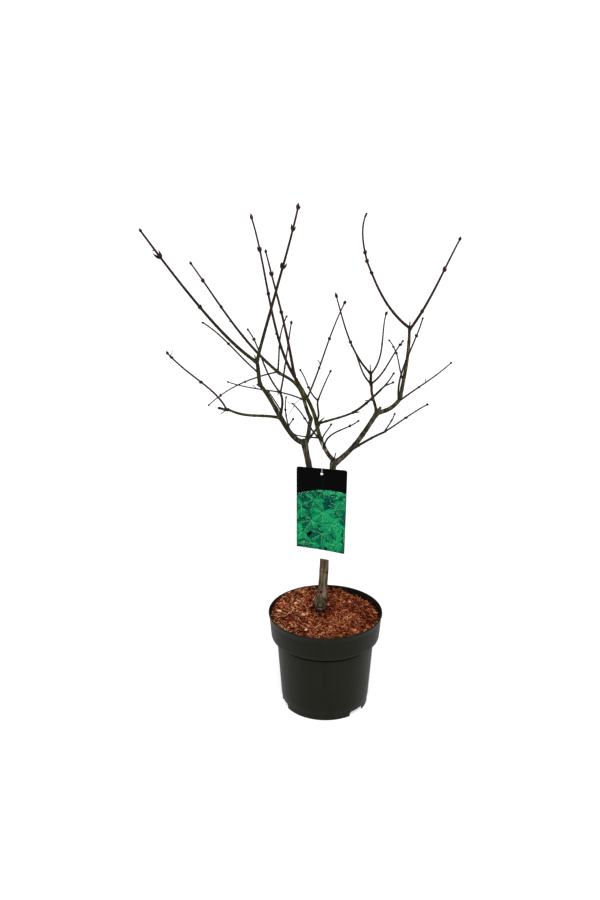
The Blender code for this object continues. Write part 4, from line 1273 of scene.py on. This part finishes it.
def drain_cutter(angle):
    """A rounded block that cuts through the bottom edge of the pot."""
    bm = bmesh.new()
    bmesh.ops.create_cube(bm, size=1.0)
    bmesh.ops.scale(bm, vec=(DRAIN_DEPTH, DRAIN_WIDTH, 2.0 * DRAIN_HEIGHT), verts=bm.verts)
    uprights = [edge for edge in bm.edges if abs((edge.verts[0].co - edge.verts[1].co).x) > 0.5 * DRAIN_DEPTH]
    bmesh.ops.bevel(bm, geom=uprights, offset=0.0030, segments=4, affect="EDGES")
    bmesh.ops.translate(bm, vec=(POT_FOOT_RADIUS - 0.001, 0.0, 0.0), verts=bm.verts)
    bmesh.ops.rotate(bm, matrix=Matrix.Rotation(angle, 3, "Z"), verts=bm.verts)
    return object_of("drain_cutter", bm)


def build_pot():
    pot = turned(pot_profile(), POT_SIDES).object("moulded_pot", [pot_look()], SHARP_EDGE)
    first = DRAIN_FIRST_ANGLE - math.pi / 2
    cut_out(pot, [drain_cutter(first + math.tau * k / DRAIN_CUTS) for k in range(DRAIN_CUTS)])
    settle(pot, "pot_plastic", "pot")


def build_mix():
    """The potting mix on the pot's raised floor, under the mulch."""
    low = POT_BODY_FOOT_RADIUS - POT_WALL - 0.0028
    high = POT_BODY_TOP_RADIUS - POT_WALL - 0.0026
    profile = [
        (0.0, POT_FLOOR + GAP),
        (low, POT_FLOOR + GAP),
        (high, POT_BAND_FOOT),
        (high, MIX_TOP),
        (0.0, MIX_TOP),
    ]
    look = Look("potting_mix", 0.95, 0.1)
    crumbs = look.noise((330.0, 330.0, 330.0), 5.0, 0.7)
    look.bumped(crumbs, 0.0012)
    look.rough_between(crumbs, 0.98, 0.86)
    tint = look.ramp(crumbs, [(0.3, (0.012, 0.008, 0.005)), (0.7, (0.060, 0.038, 0.024))])
    mix = turned(profile, MIX_SIDES).object("potting_mix_body", [look.coloured(tint)], SOFT_EDGE)
    settle(mix, "potting_mix", "potting_mix")


# The mulch


def mulch_height(x, y):
    """The mulch stands highest at the back left and round the trunk, where it is level."""
    reach = math.hypot(x, y) / MULCH_RADIUS
    toward_heap = math.cos(math.atan2(y, x) - MULCH_HEAP_ANGLE) * reach
    heap = MULCH_HEAP * max(0.0, toward_heap) ** 1.7
    dome = (GROUND - MULCH_EDGE) * (1.0 - reach**3)
    ripple = RIPPLE_HEIGHT * math.sin(RIPPLES_ACROSS * x + 2.0) * math.cos(RIPPLES_DEEP * y - 1.0)
    free = MULCH_EDGE + dome + heap + ripple
    from_trunk = math.hypot(x - TRUNK_FOOT.x, y - TRUNK_FOOT.y)
    share = min(1.0, max(0.0, (from_trunk - PAD_RADIUS) / PAD_BLEND))
    hollow = HOLLOW_DEPTH * bump_near(max(0.0, from_trunk - 0.012), 0.5 * HOLLOW_RADIUS)
    return GROUND + (free - GROUND) * share - hollow


SHRED_LOOKS = [
    ("shred_red", (0.185, 0.028, 0.011)),
    ("shred_rust", (0.300, 0.058, 0.018)),
    ("shred_brown", (0.066, 0.012, 0.006)),
    ("shred_dark", (0.012, 0.003, 0.003)),
    ("shred_orange", (0.600, 0.175, 0.058)),
    ("shred_pale", (0.760, 0.320, 0.150)),
    ("shred_straw", (0.820, 0.460, 0.250)),
]
SHRED_SHARES = [(3, 0.27), (2, 0.21), (0, 0.18), (1, 0.13), (4, 0.11), (5, 0.07), (6, 0.03)]

# chips that stand out: place (mm across, mm back), length (mm), tone
PALE_CHIPS = [
    (-57, -8, 15, 5),
    (-118, 8, 13, 6),
    (121, -58, 11, 5),
    (-50, -82, 12, 6),
    (-76, 44, 12, 5),
    (64, 66, 11, 6),
]

# kinds of shred: length, width, how far it lies above the mulch, thickness, segments, curl
FIBRE = ((0.008, 0.022), (0.0008, 0.0015), (0.0002, 0.0046), 0.0006, 5, 0.16)
STRIP = ((0.008, 0.022), (0.0014, 0.0034), (-0.0012, 0.0024), 0.0009, 3, 0.08)
SPLINTER_LENGTHS = (0.022, 0.036)
SPLINTER_WIDTHS = (0.0007, 0.0012)
SPLINTER_RISE = (0.003, 0.005)
CHIP_LENGTHS = (0.006, 0.014)
# a chip's section: share of its thickness, share of its size
CHIP_PROFILE = ((-0.5, 0.86), (-0.2, 1.0), (0.25, 0.98), (0.5, 0.78))
TUFT_SCALE = (85.0, 85.0, 0.0)


def shred_tone(rng, place):
    """Paler and yellower shreds to the left, darker ones to the right, and darker ones in the hollow round
    the trunk as painted shade.
    """
    from_trunk = math.hypot(place.x - TRUNK_FOOT.x, place.y - TRUNK_FOOT.y)
    clumps = noise_at(place, (24.0, 24.0, 0.0), 2.0)
    # the last term darkens the shreds in the hollow round the trunk: painted shade
    drift_and_hollow_shade = 0.13 * clumps - 0.42 * place.x - 0.36 * bump_near(from_trunk, HOLLOW_RADIUS + 0.008)
    level = min(0.999, max(0.0, rng.random() + drift_and_hollow_shade))
    for tone, share in SHRED_SHARES:
        level -= share
        if level < 0.0:
            return tone
    return SHRED_SHARES[-1][0]


def shred_place(rng, margin):
    """A random place on the mulch, clear of the pot's wall and of the trunk."""
    while True:
        reach = (MULCH_RADIUS - margin) * math.sqrt(rng.random())
        angle = rng.uniform(0.0, math.tau)
        x = reach * math.cos(angle)
        y = reach * math.sin(angle)
        if math.hypot(x - TRUNK_FOOT.x, y - TRUNK_FOOT.y) > TRUNK_CLEAR:
            return Vector((x, y, mulch_height(x, y)))


def wall_at(height):
    """The radius inside which a shred stays clear of the pot's wall."""
    share = (height - POT_BAND_FOOT) / (POT_HEIGHT - POT_BAND_FOOT)
    inner = POT_BAND_FOOT_RADIUS + (POT_RIM_RADIUS - POT_BAND_FOOT_RADIUS) * min(1.0, share) - POT_WALL
    return inner - WALL_CLEAR


def held_inside(place):
    """Moves a place inwards where it would reach into the pot's wall."""
    reach = math.hypot(place.x, place.y)
    most = wall_at(place.z)
    if reach > most:
        place = Vector((place.x * most / reach, place.y * most / reach, place.z))
    place.z = min(place.z, POT_HEIGHT + OVER_RIM)
    return place


def shred_solid(pile, rng, middle, length, width, thickness, segments, curl, look):
    """A curled splinter of bark, lying on the mulch."""
    yaw = rng.uniform(0.0, math.tau)
    pitch = math.radians(rng.gauss(4.0, 14.0))
    way = Vector((math.cos(yaw) * math.cos(pitch), math.sin(yaw) * math.cos(pitch), math.sin(pitch)))
    side = way.cross(UP).normalized()
    roll = math.radians(rng.gauss(0.0, 26.0))
    side.rotate(Matrix.Rotation(roll, 3, way))
    top = side.cross(way)
    bend = side * rng.gauss(0.0, curl) + top * rng.gauss(-0.2 * curl, curl)
    rings = []
    for k in range(segments + 1):
        share = k / segments
        across = 2.0 * share - 1.0
        taper = (1.0 - 0.75 * abs(across) ** 3) * rng.uniform(0.82, 1.12)
        centre = middle + way * (0.5 * length * across) + bend * (length * (across * across - 0.4))
        half = side * (0.5 * width * taper)
        rise = top * (0.5 * thickness * taper)
        lower = [centre - half - rise, centre + half - rise * 0.6]
        upper = [centre + half + rise, centre - half + rise * 0.7]
        rings.append([held_inside(corner) for corner in lower + upper])
    pile.add_rings(rings, [look] * len(rings))


def chip_solid(pile, rng, middle, length, look):
    """A thicker broken chip of bark."""
    width = length * rng.uniform(0.40, 0.70)
    thickness = rng.uniform(0.0014, 0.0028)
    turn = Matrix.Rotation(rng.uniform(0.0, math.tau), 3, "Z") @ Matrix.Rotation(rng.gauss(0.0, 0.3), 3, "X")
    corners = [rng.uniform(0.75, 1.15) for _ in range(CHIP_SIDES)]
    rings = []
    for height, size in CHIP_PROFILE:
        ring = []
        for k, corner in enumerate(corners):
            angle = math.tau * k / CHIP_SIDES
            edge = Vector((0.5 * length * math.cos(angle), 0.5 * width * math.sin(angle), 0.0))
            spot = edge * (corner * size)
            spot.z = height * thickness + rng.uniform(-0.0002, 0.0002)
            ring.append(held_inside(middle + turn @ spot))
        rings.append(ring)
    pile.add_rings(rings, [look] * len(rings))


def crumb_solid(pile, rng):
    """A small crumb."""
    middle = shred_place(rng, 0.003)
    look = shred_tone(rng, middle)
    size = rng.uniform(0.0009, 0.0022)
    middle.z += rng.uniform(-0.001, 0.001)
    ring = []
    for k in range(CRUMB_SIDES):
        angle = math.tau * k / CRUMB_SIDES + rng.uniform(-0.4, 0.4)
        reach = size * rng.uniform(0.7, 1.3)
        rise = rng.uniform(-0.3, 0.3) * size
        ring.append(middle + Vector((reach * math.cos(angle), reach * math.sin(angle), rise)))
    higher = [place + UP * 0.3 * size for place in ring]
    pile.add_rings([ring, higher], [look, look], middle - UP * size, middle + UP * size)


def bed_look():
    """Crumbled bark, as it shows between the shreds: dark partly in its own colour and partly as painted
    shade for the gaps.
    """
    look = Look("mulch_bed", 0.9, 0.04)
    coarse = look.noise((420.0, 420.0, 420.0), 6.0, 0.75)
    fine = look.cells((560.0, 560.0, 560.0))
    # dark tones: partly the crumbled bark's own colour, partly painted shade for the gaps between the shreds
    tones = [(0.32, (0.008, 0.003, 0.002)), (0.52, (0.040, 0.010, 0.005)), (0.74, (0.16, 0.04, 0.015))]
    tint = look.ramp(coarse, tones)
    look.rough_between(coarse, 0.98, 0.8)
    first = look.bumped(fine, 0.0012)
    look.bumped(coarse, 0.0010, 1.0, first)
    return look.coloured(tint)


def build_bed():
    """The rough bed that the shreds lie on."""
    pile = Pile()
    rings = []
    for k in range(1, BED_RINGS + 1):
        reach = k / BED_RINGS * (MULCH_RADIUS - 0.001)
        ring = []
        for m in range(BED_SIDES):
            angle = math.tau * m / BED_SIDES
            x = reach * math.cos(angle)
            y = reach * math.sin(angle)
            place = Vector((x, y, mulch_height(x, y) - BED_SINK))
            coarse = 2.2 * noise_at(place, (260.0, 260.0, 0.0))
            fine = 1.1 * noise_at(place, (700.0, 700.0, 0.0), 4.0)
            place.z += (coarse + fine) * MM
            ring.append(place)
        rings.append(ring)
    rings.reverse()
    low = [Vector((place.x, place.y, MULCH_FLOOR)) for place in rings[0]]
    centre = Vector((0.0, 0.0, mulch_height(0.0, 0.0) - BED_SINK))
    pile.add_rings([low] + rings, [0] * (len(rings) + 1), None, centre)
    return pile.object("mulch_bed", [bed_look()])


def scatter_shreds(pile, rng, count, kind, margin):
    """Many shreds of one kind, which lie a little lower in the hollows between tufts."""
    lengths, widths, rises, thickness, segments, curl = kind
    for _ in range(count):
        length = rng.uniform(*lengths)
        width = rng.uniform(*widths)
        middle = shred_place(rng, margin) + UP * rng.uniform(*rises)
        middle.z -= TUFT_DEPTH * max(0.0, noise_at(middle, TUFT_SCALE, 11.0) + 0.1)
        shred_solid(pile, rng, middle, length, width, thickness, segments, curl, shred_tone(rng, middle))


def build_fibres(rng):
    """Fine fibres, a few long splinters in clear tones, and crumbs."""
    fibres = Pile()
    scatter_shreds(fibres, rng, FIBRES, FIBRE, 0.004)
    for _ in range(SPLINTERS):
        length = rng.uniform(*SPLINTER_LENGTHS)
        middle = shred_place(rng, 0.012) + UP * rng.uniform(*SPLINTER_RISE)
        tone = rng.choice((4, 5, 5, 6)) if middle.x < 0.0 else rng.choice((1, 4))
        shred_solid(fibres, rng, middle, length, rng.uniform(*SPLINTER_WIDTHS), 0.0006, 6, 0.12, tone)
    for _ in range(CRUMBS):
        crumb_solid(fibres, rng)
    return fibres


def build_chips(rng):
    """Flat strips, thicker broken chips, and the pale chips that stand out."""
    chips = Pile()
    scatter_shreds(chips, rng, STRIPS, STRIP, 0.005)
    for _ in range(CHIPS):
        middle = shred_place(rng, 0.008) + UP * rng.uniform(0.0, 0.0018)
        chip_solid(chips, rng, middle, rng.uniform(*CHIP_LENGTHS), rng.choice((0, 1, 1, 4, 5, 2)))
    for across, back, length, tone in PALE_CHIPS:
        spot = Vector((across * MM, back * MM, mulch_height(across * MM, back * MM) + CHIP_RISE))
        chip_solid(chips, rng, spot, length * MM, tone)
    return chips


def build_mulch():
    rng = random.Random(SEED)
    bed = build_bed()
    looks = [shred_look(name, colour) for name, colour in SHRED_LOOKS]
    fibres = build_fibres(rng)
    chips = build_chips(rng)
    settle(bed, "bark_mulch", "bark_mulch")
    settle(fibres.object("mulch_fibres", looks, SOFT_EDGE), "bark_mulch", "bark_mulch")
    settle(chips.object("mulch_chips", looks, SOFT_EDGE), "bark_mulch", "bark_mulch")


# The card


def card_place(across, height, forward, centre):
    """A place on the hanging card: across its width, at a height, forward of its middle plane."""
    down = (CARD_TOP - height) / CARD_HEIGHT
    turn = CARD_TURN + CARD_TWIST * (0.45 - down)
    curl = CARD_CURL * (across / (0.5 * CARD_WIDTH)) ** 2 * down
    spot = Matrix.Rotation(turn, 3, "Z") @ Vector((across, -forward - curl, 0.0))
    return Vector((centre.x + spot.x - CARD_DRIFT * down, centre.y + spot.y, height))


def card_outline():
    """The card's outline with rounded top corners, from the lower left to the lower right and round."""
    half = 0.5 * CARD_WIDTH
    low = CARD_TOP - CARD_HEIGHT
    middle = CARD_TOP - CARD_CORNER
    points = [(-half, low), (half, low)]
    for centre_x, first in ((half - CARD_CORNER, 0.0), (-half + CARD_CORNER, math.pi / 2)):
        for k in range(CARD_CORNER_STEPS + 1):
            angle = first + k * math.pi / 2 / CARD_CORNER_STEPS
            points.append((centre_x + CARD_CORNER * math.cos(angle), middle + CARD_CORNER * math.sin(angle)))
    return points


def punch():
    """A rod through the card, where its hole is."""
    bm = bmesh.new()
    radius = HOLE_RADIUS
    bmesh.ops.create_cone(bm, cap_ends=True, segments=28, radius1=radius, radius2=radius, depth=0.01)
    bmesh.ops.translate(bm, vec=(0.0, CARD_TOP - HOLE_DROP, 0.0), verts=bm.verts)
    return object_of("hole", bm)


def build_card(centre):
    """The card as a thin closed sheet with a punched hole, its edge inked beside the print."""
    bm = flat_face(card_outline())
    for k in range(1, CARD_ROWS):
        split_at(bm, 1, CARD_TOP - CARD_HEIGHT + CARD_HEIGHT * k / CARD_ROWS)
    for k in range(1, CARD_COLUMNS):
        split_at(bm, 0, -0.5 * CARD_WIDTH + CARD_WIDTH * k / CARD_COLUMNS)
    thicken(bm, CARD_THICKNESS)
    card = object_of("picture_card", bm)
    whole = cut_out(card, [punch()])
    whole.materials.clear()
    whole.materials.append(card_look("card_stock", (0.90, 0.90, 0.90), 0.42))
    whole.materials.append(card_look("card_inked_edge", (0.004, 0.010, 0.009), 0.5))
    foot_top = CARD_TOP - CARD_HEIGHT * (1.0 - FOOT_SHARE)
    for polygon in whole.polygons:
        inked = abs(polygon.normal.z) < 0.5 and polygon.center.y > foot_top
        polygon.material_index = 1 if inked else 0
    for vertex in whole.vertices:
        across, height, depth = vertex.co
        vertex.co = card_place(across, height, depth - 0.5 * CARD_THICKNESS, centre)
    whole.update()
    settle(card, "card", "label_card")


def card_look(name, colour, roughness):
    """Card, ink or cotton: one colour with a fine grain."""
    look = Look(name, roughness, 0.03)
    grain = look.noise((700.0, 700.0, 700.0), 3.0)
    tinted = look.ramp(grain, [(0.30, shade(colour, 0.9)), (0.70, shade(colour, 1.08))])
    look.rough_between(grain, roughness - 0.06, roughness + 0.08)
    look.bumped(grain, 0.00003)
    return look.coloured(tinted)


PRINT_LAYER = 0.00003
PRINT_GAP = 0.00002
PRINT_MARGIN = 0.0001
PRINT_STEP = 0.008
PRINT_TOP_STEPS = 16
POINT_GAP = 0.0002
LEAF_STEPS = 18
PRINT_LOOKS = [
    ("print_black", (0.0004, 0.0004, 0.0005)),
    ("print_deep_green", (0.001, 0.060, 0.034)),
    ("print_green", (0.001, 0.165, 0.062)),
    ("print_light_green", (0.003, 0.240, 0.084)),
    ("print_blue_green", (0.001, 0.026, 0.028)),
    ("print_leaf_line", (0.060, 0.430, 0.160)),
    ("print_pale", (0.42, 0.58, 0.48)),
]
BLACK, DEEP, GREEN, LIGHT, BLUE, LINE, PALE = range(7)

# sprays of leaves in the picture: place (mm across, mm above its foot), size (mm), turn (degrees), tone
SPRAYS = [
    (-56, 148, 32, 205, GREEN),
    (-28, 153, 36, 248, DEEP),
    (6, 156, 38, 272, GREEN),
    (36, 155, 36, 290, LIGHT),
    (60, 150, 34, 318, DEEP),
    (-54, 136, 40, 232, DEEP),
    (20, 142, 38, 280, DEEP),
    (54, 134, 40, 300, GREEN),
    (-18, 134, 46, 256, GREEN),
    (-50, 108, 44, 214, GREEN),
    (34, 114, 46, 312, GREEN),
    (4, 100, 50, 262, LIGHT),
    (-60, 76, 42, 190, GREEN),
    (58, 86, 42, 338, DEEP),
    (-24, 76, 50, 236, GREEN),
    (28, 72, 50, 296, LIGHT),
    (-52, 42, 44, 206, LIGHT),
    (60, 44, 42, 330, GREEN),
    (2, 44, 50, 268, GREEN),
    (-26, 16, 44, 240, GREEN),
    (32, 20, 46, 304, LIGHT),
    (58, 8, 36, 326, DEEP),
]
PRINT_SEED = SEED + 7
FIRST_SPRAY_LAYER = 4
STREAK_LAYER = 27
SPECK_LAYER = 28
LOW_LEAVES = 54
SPECKS = 70
STREAKS = 120
LEAFLET_WIDTH = 0.50
LOW_LEAF_WIDTH = 0.42
VEIN_SHARES = (0.22, 0.40, 0.58)
LEAFLET_TURNS = (-104, 104, -52, 52, 0)
LEAFLET_SIZES = (0.62, 0.62, 0.88, 0.88, 1.0)


def print_area(pile, outline, look, layer, centre):
    """A flat area of print: an outline in the card's plane, cut into cells so that it follows the card."""
    if len(outline) < 3:
        return
    bm = flat_face(outline)
    for axis in (0, 1):
        low = min(point[axis] for point in outline)
        high = max(point[axis] for point in outline)
        for k in range(1, int((high - low) / PRINT_STEP) + 1):
            split_at(bm, axis, low + k * PRINT_STEP)
    bmesh.ops.triangulate(bm, faces=bm.faces)
    thicken(bm, PRINT_LAYER)
    bm.verts.index_update()
    first = len(pile.places)
    base = 0.5 * CARD_THICKNESS + layer * PRINT_LAYER + PRINT_GAP
    for vertex in bm.verts:
        across, height, depth = vertex.co
        pile.places.append(card_place(across, height, base + depth, centre))
    for face in bm.faces:
        pile.faces.append(tuple(first + vertex.index for vertex in face.verts))
        pile.looks.append(look)
    bm.free()


def picture_top(across):
    """The bowed line where the picture meets the card's black head."""
    share = across / (0.5 * CARD_WIDTH)
    return CARD_TOP - CARD_HEIGHT * HEAD_SHARE + 0.003 + 0.0096 * (1.0 - share * share) + 0.006 * share


def clipped(outline, low):
    """An outline held inside the picture's area."""
    half = 0.5 * CARD_WIDTH - PRINT_MARGIN
    held = []
    for across, height in outline:
        across = min(half, max(-half, across))
        held.append((across, min(picture_top(across) - PRINT_MARGIN, max(low + PRINT_MARGIN, height))))
    return held


def print_inside(pile, outline, look, layer, low, centre):
    """Prints an outline as far as it lies in the picture's area."""
    print_area(pile, tidy_outline(clipped(outline, low)), look, layer, centre)


def leaf_side(foot, length, width, turn, side):
    """Half of a pointed, toothed leaf, from its foot out to its tip and back down its rib."""
    points = []
    for k in range(LEAF_STEPS + 1):
        share = k / LEAF_STEPS
        tooth = 0.10 * (k % 2) * math.sin(math.pi * share)
        across = side * 0.5 * width * (math.sin(math.pi * share) ** 0.85 * (1.25 - 0.5 * share) + tooth)
        points.append((length * share, across))
    points.append((0.5 * length, side * 0.0002))
    return [spun(point, foot, turn) for point in points]


def spun(point, foot, turn):
    along, across = point
    return (
        foot[0] + along * math.cos(turn) - across * math.sin(turn),
        foot[1] + along * math.sin(turn) + across * math.cos(turn),
    )


def sliver(start, end, width):
    """A thin line that tapers to its end, as an outline."""
    along = Vector(end) - Vector(start)
    side = Vector((-along.y, along.x)).normalized() * 0.5 * width
    low = Vector(start)
    high = low + along
    return [tuple(corner) for corner in (low - side, high - side * 0.2, high + side * 0.2, low + side)]


def print_leaflet(pile, foot, length, turn, tone, layer, low, centre):
    """A leaf in two tones of green with a pale rib and side veins."""
    width = LEAFLET_WIDTH * length
    darker = {LIGHT: GREEN, GREEN: DEEP, DEEP: BLUE}[tone]
    for side, half_tone in ((1.0, tone), (-1.0, darker if length > 0.03 else tone)):
        print_inside(pile, leaf_side(foot, length, width, turn, side), half_tone, layer, low, centre)
    line_tone = LINE if tone != DEEP else GREEN
    lines = [((0.0, 0.0), (0.96, 0.0), 0.0010)]
    for share in VEIN_SHARES:
        for side in (1.0, -1.0):
            lines.append(((share, 0.0), (share + 0.20, side * 0.18), 0.0005))
    for start, end, thick in lines:
        ends = [spun((length * along, length * across), foot, turn) for along, across in (start, end)]
        print_inside(pile, sliver(*ends, thick), line_tone, layer + 1, low, centre)


def print_low_leaves(pile, rng, low, centre):
    """Dim leaves behind the sprays."""
    half = 0.5 * CARD_WIDTH
    for k in range(LOW_LEAVES):
        foot = (rng.uniform(-half, half), rng.uniform(low, picture_top(0.0)))
        length = rng.uniform(0.018, 0.034)
        tone = rng.choice((BLACK, DEEP, DEEP, GREEN))
        for side in (1.0, -1.0):
            outline = leaf_side(foot, length, LOW_LEAF_WIDTH * length, math.tau * k / 7, side)
            print_inside(pile, outline, tone, 1 + k % 3, low, centre)


def print_sprays(pile, rng, low, centre):
    """The picture's main leaves, each spray a layer above the one before."""
    for number, (across, height, size, turn, tone) in enumerate(SPRAYS):
        foot = (across * MM, low + height * MM)
        for k, (lean, share) in enumerate(zip(LEAFLET_TURNS, LEAFLET_SIZES)):
            way = math.radians(turn + lean + rng.uniform(-6.0, 6.0))
            layer = FIRST_SPRAY_LAYER + number + 0.1 * k
            print_leaflet(pile, foot, size * share * MM, way, tone, layer, low, centre)


def print_streaks(pile, rng, low, centre):
    """Thin streaks over the leaves, then pale specks, half of them along the picture's top."""
    half = 0.5 * CARD_WIDTH
    for _ in range(STREAKS):
        spot = (rng.uniform(-half, half), rng.uniform(low, picture_top(0.0)))
        way = rng.uniform(math.pi, math.tau)
        size = rng.uniform(0.005, 0.015)
        end = (spot[0] + size * math.cos(way), spot[1] + size * math.sin(way))
        outline = sliver(spot, end, rng.uniform(0.0008, 0.0024))
        print_inside(pile, outline, rng.choice((BLUE, DEEP, BLACK, LINE)), STREAK_LAYER, low, centre)
    for k in range(SPECKS):
        across = rng.uniform(-half, half)
        if k % 2 == 0:
            height = picture_top(across) - rng.uniform(0.001, 0.003)
        else:
            height = rng.uniform(low, picture_top(0.0))
        size = rng.uniform(0.0008, 0.0022)
        end = (across + size, height + rng.uniform(-1.0, 1.0) * size)
        outline = sliver((across, height), end, 0.8 * size)
        print_inside(pile, outline, rng.choice((PALE, LINE)), SPECK_LAYER, low, centre)


def build_print(centre):
    """A made-up print: sprays of toothed leaves under a black head, over a bare white foot."""
    rng = random.Random(PRINT_SEED)
    pile = Pile()
    half = 0.5 * CARD_WIDTH
    low = CARD_TOP - CARD_HEIGHT * (1.0 - FOOT_SHARE)
    head = [point for point in card_outline() if point[1] > low]
    steps = [-half + 2.0 * half * k / PRINT_TOP_STEPS for k in range(PRINT_TOP_STEPS + 1)]
    top_line = [(across, picture_top(across)) for across in steps]
    ground_outline = [(-half, low), (half, low)] + list(reversed(top_line))
    print_area(pile, ground_outline, BLUE, 0, centre)
    print_head(pile, top_line, head, Vector((0.0, CARD_TOP - HOLE_DROP)), centre)
    print_low_leaves(pile, rng, low, centre)
    print_sprays(pile, rng, low, centre)
    print_streaks(pile, rng, low, centre)
    return pile


def tidy_outline(outline):
    """Drops points that fall on the one before, after an outline was held inside its area."""
    kept = []
    for point in outline:
        if not kept or math.dist(point, kept[-1]) > POINT_GAP:
            kept.append(point)
    if len(kept) > 2 and math.dist(kept[0], kept[-1]) < POINT_GAP:
        kept.pop()
    return kept


def print_head(pile, top_line, head, hole, centre):
    """The black head, in two halves that leave the punched hole open."""
    for side in (-1.0, 1.0):
        line = [point for point in top_line if point[0] * side >= -1e-9]
        rim = [point for point in head if point[0] * side > 1e-9]
        arc = []
        for k in range(HOLE_STEPS + 1):
            angle = -math.pi / 2 + side * math.pi * k / HOLE_STEPS
            reach = 1.15 * HOLE_RADIUS
            arc.append((hole.x + reach * math.cos(angle), hole.y + reach * math.sin(angle)))
        middle_top = (0.0, CARD_TOP)
        if side > 0.0:
            outline = line + rim + [middle_top] + list(reversed(arc))
        else:
            outline = line + arc + [middle_top] + rim
        print_area(pile, tidy_outline(outline), BLACK, 0, centre)


def thread_path(limb, centre):
    """The thread's closed path: over the bough, down behind, through the hole and up in front."""
    bough = limb.point(THREAD_PLACE)
    over = limb.radius(THREAD_PLACE) + 0.9 * MM
    hole = CARD_TOP - HOLE_DROP
    tie = hole + THREAD_TIE
    apart = 0.5 * CARD_THICKNESS + THREAD_RADIUS + GAP

    def strand_place(share, side):
        height = bough.z + (tie - bough.z) * share
        depth = over + (apart - over) * share ** 0.5
        return Vector((centre.x, centre.y + side * depth, height))

    path = []
    for k in range(THREAD_OVER_STEPS + 1):
        angle = math.pi * k / THREAD_OVER_STEPS
        path.append(bough + Vector((0.0, -over * math.cos(angle), over * math.sin(angle))))
    for k in range(1, THREAD_STRAND_STEPS + 1):
        path.append(strand_place(k / THREAD_STRAND_STEPS, 1.0))
    for k in range(1, THREAD_DIP_STEPS):
        angle = math.pi * k / THREAD_DIP_STEPS
        height = hole + 0.8 * MM + THREAD_DIP * (1.0 - math.sin(angle))
        path.append(Vector((centre.x, centre.y + THREAD_SLACK * apart * math.cos(angle), height)))
    for k in range(THREAD_STRAND_STEPS):
        path.append(strand_place(1.0 - k / THREAD_STRAND_STEPS, -1.0))
    return path


def build_thread(limb, centre):
    """A thin thread over the bough, its two strands down to the card and through its hole."""
    path = thread_path(limb, centre)
    curve = bpy.data.curves.new("hanging_thread", "CURVE")
    curve.dimensions = "3D"
    curve.bevel_depth = THREAD_RADIUS
    curve.bevel_resolution = 3
    spline = curve.splines.new("POLY")
    spline.points.add(len(path) - 1)
    for point, place in zip(spline.points, path):
        point.co = (*place, 1.0)
    spline.use_cyclic_u = True
    curve.materials.append(card_look("thread_cotton", (0.42, 0.42, 0.41), 0.7))
    settle(linked("hanging_thread", curve), "thread", "label_thread")


# Stage, lights and camera


def build_floor():
    """A wide pale floor that glows a little, so that it comes out white."""
    bm = bmesh.new()
    bmesh.ops.create_grid(bm, x_segments=2, y_segments=2, size=FLOOR_SIZE)
    floor = object_of("floor", bm)
    look = Look("pale_floor", 0.9, 0.05)
    look.shader.inputs["Emission Color"].default_value = (1.0, 1.0, 1.0, 1.0)
    look.shader.inputs["Emission Strength"].default_value = FLOOR_GLOW
    floor.data.materials.append(look.coloured((0.62, 0.62, 0.62)))


def build_sky():
    """A white room whose brightness changes with height."""
    world = bpy.data.worlds.new("studio")
    world.use_nodes = True
    sky = world.node_tree
    place = sky.nodes.new("ShaderNodeTexCoord")
    parts = sky.nodes.new("ShaderNodeSeparateXYZ")
    band = sky.nodes.new("ShaderNodeValToRGB")
    ramp = band.color_ramp
    while len(ramp.elements) < len(SKY_BANDS):
        ramp.elements.new(0.5)
    for element, (level, light) in zip(ramp.elements, SKY_BANDS):
        element.position = level
        element.color = (light, light, light, 1.0)
    sky.links.new(place.outputs["Generated"], parts.inputs["Vector"])
    sky.links.new(parts.outputs["Z"], band.inputs["Fac"])
    sky.links.new(band.outputs["Color"], sky.nodes["Background"].inputs["Color"])
    sky.nodes["Background"].inputs["Strength"].default_value = SKY_STRENGTH
    bpy.context.scene.world = world
    bpy.context.scene.view_settings.view_transform = "Standard"


def build_sun():
    light = bpy.data.lights.new("key", "SUN")
    light.energy = KEY_STRENGTH
    light.angle = math.radians(KEY_ANGLE)
    linked("key", light).rotation_euler = [math.radians(turn) for turn in KEY_TURN]


def build_camera():
    lens = bpy.data.cameras.new("camera")
    lens.sensor_fit = "VERTICAL"
    lens.sensor_height = CAMERA_FILM
    lens.lens = CAMERA_LENS
    camera = linked("camera", lens)
    camera.location = CAMERA_PLACE
    camera.rotation_euler = (math.radians(90.0 - CAMERA_PITCH), 0.0, 0.0)
    bpy.context.scene.camera = camera


def main():
    rng = random.Random(SEED)
    limbs = grow_wood()
    wood = build_wood(limbs, rng)
    settle(wood, "bough_bark", "trunk", *BOUGHS)
    twigs, buds = build_twigs(limbs, rng)
    twig_looks = [young_look(name, colour) for name, colour in TWIG_LOOKS]
    bud_looks = [young_look(name, colour, 0.42) for name, colour in BUD_LOOKS]
    settle(twigs.object("bare_twigs", twig_looks), "twigs", *MASSES)
    settle(buds.object("buds", bud_looks), "twigs", *MASSES)
    build_pot()
    build_mix()
    build_mulch()
    hung_on = limbs["middle_bough_lower"]
    centre = hung_on.point(THREAD_PLACE)
    build_card(centre)
    print_looks = [card_look(name, colour, 0.34) for name, colour in PRINT_LOOKS]
    settle(build_print(centre).object("card_print", print_looks), "card", "label_card")
    build_thread(hung_on, centre)
    build_floor()
    build_sky()
    build_sun()
    build_camera()


main()
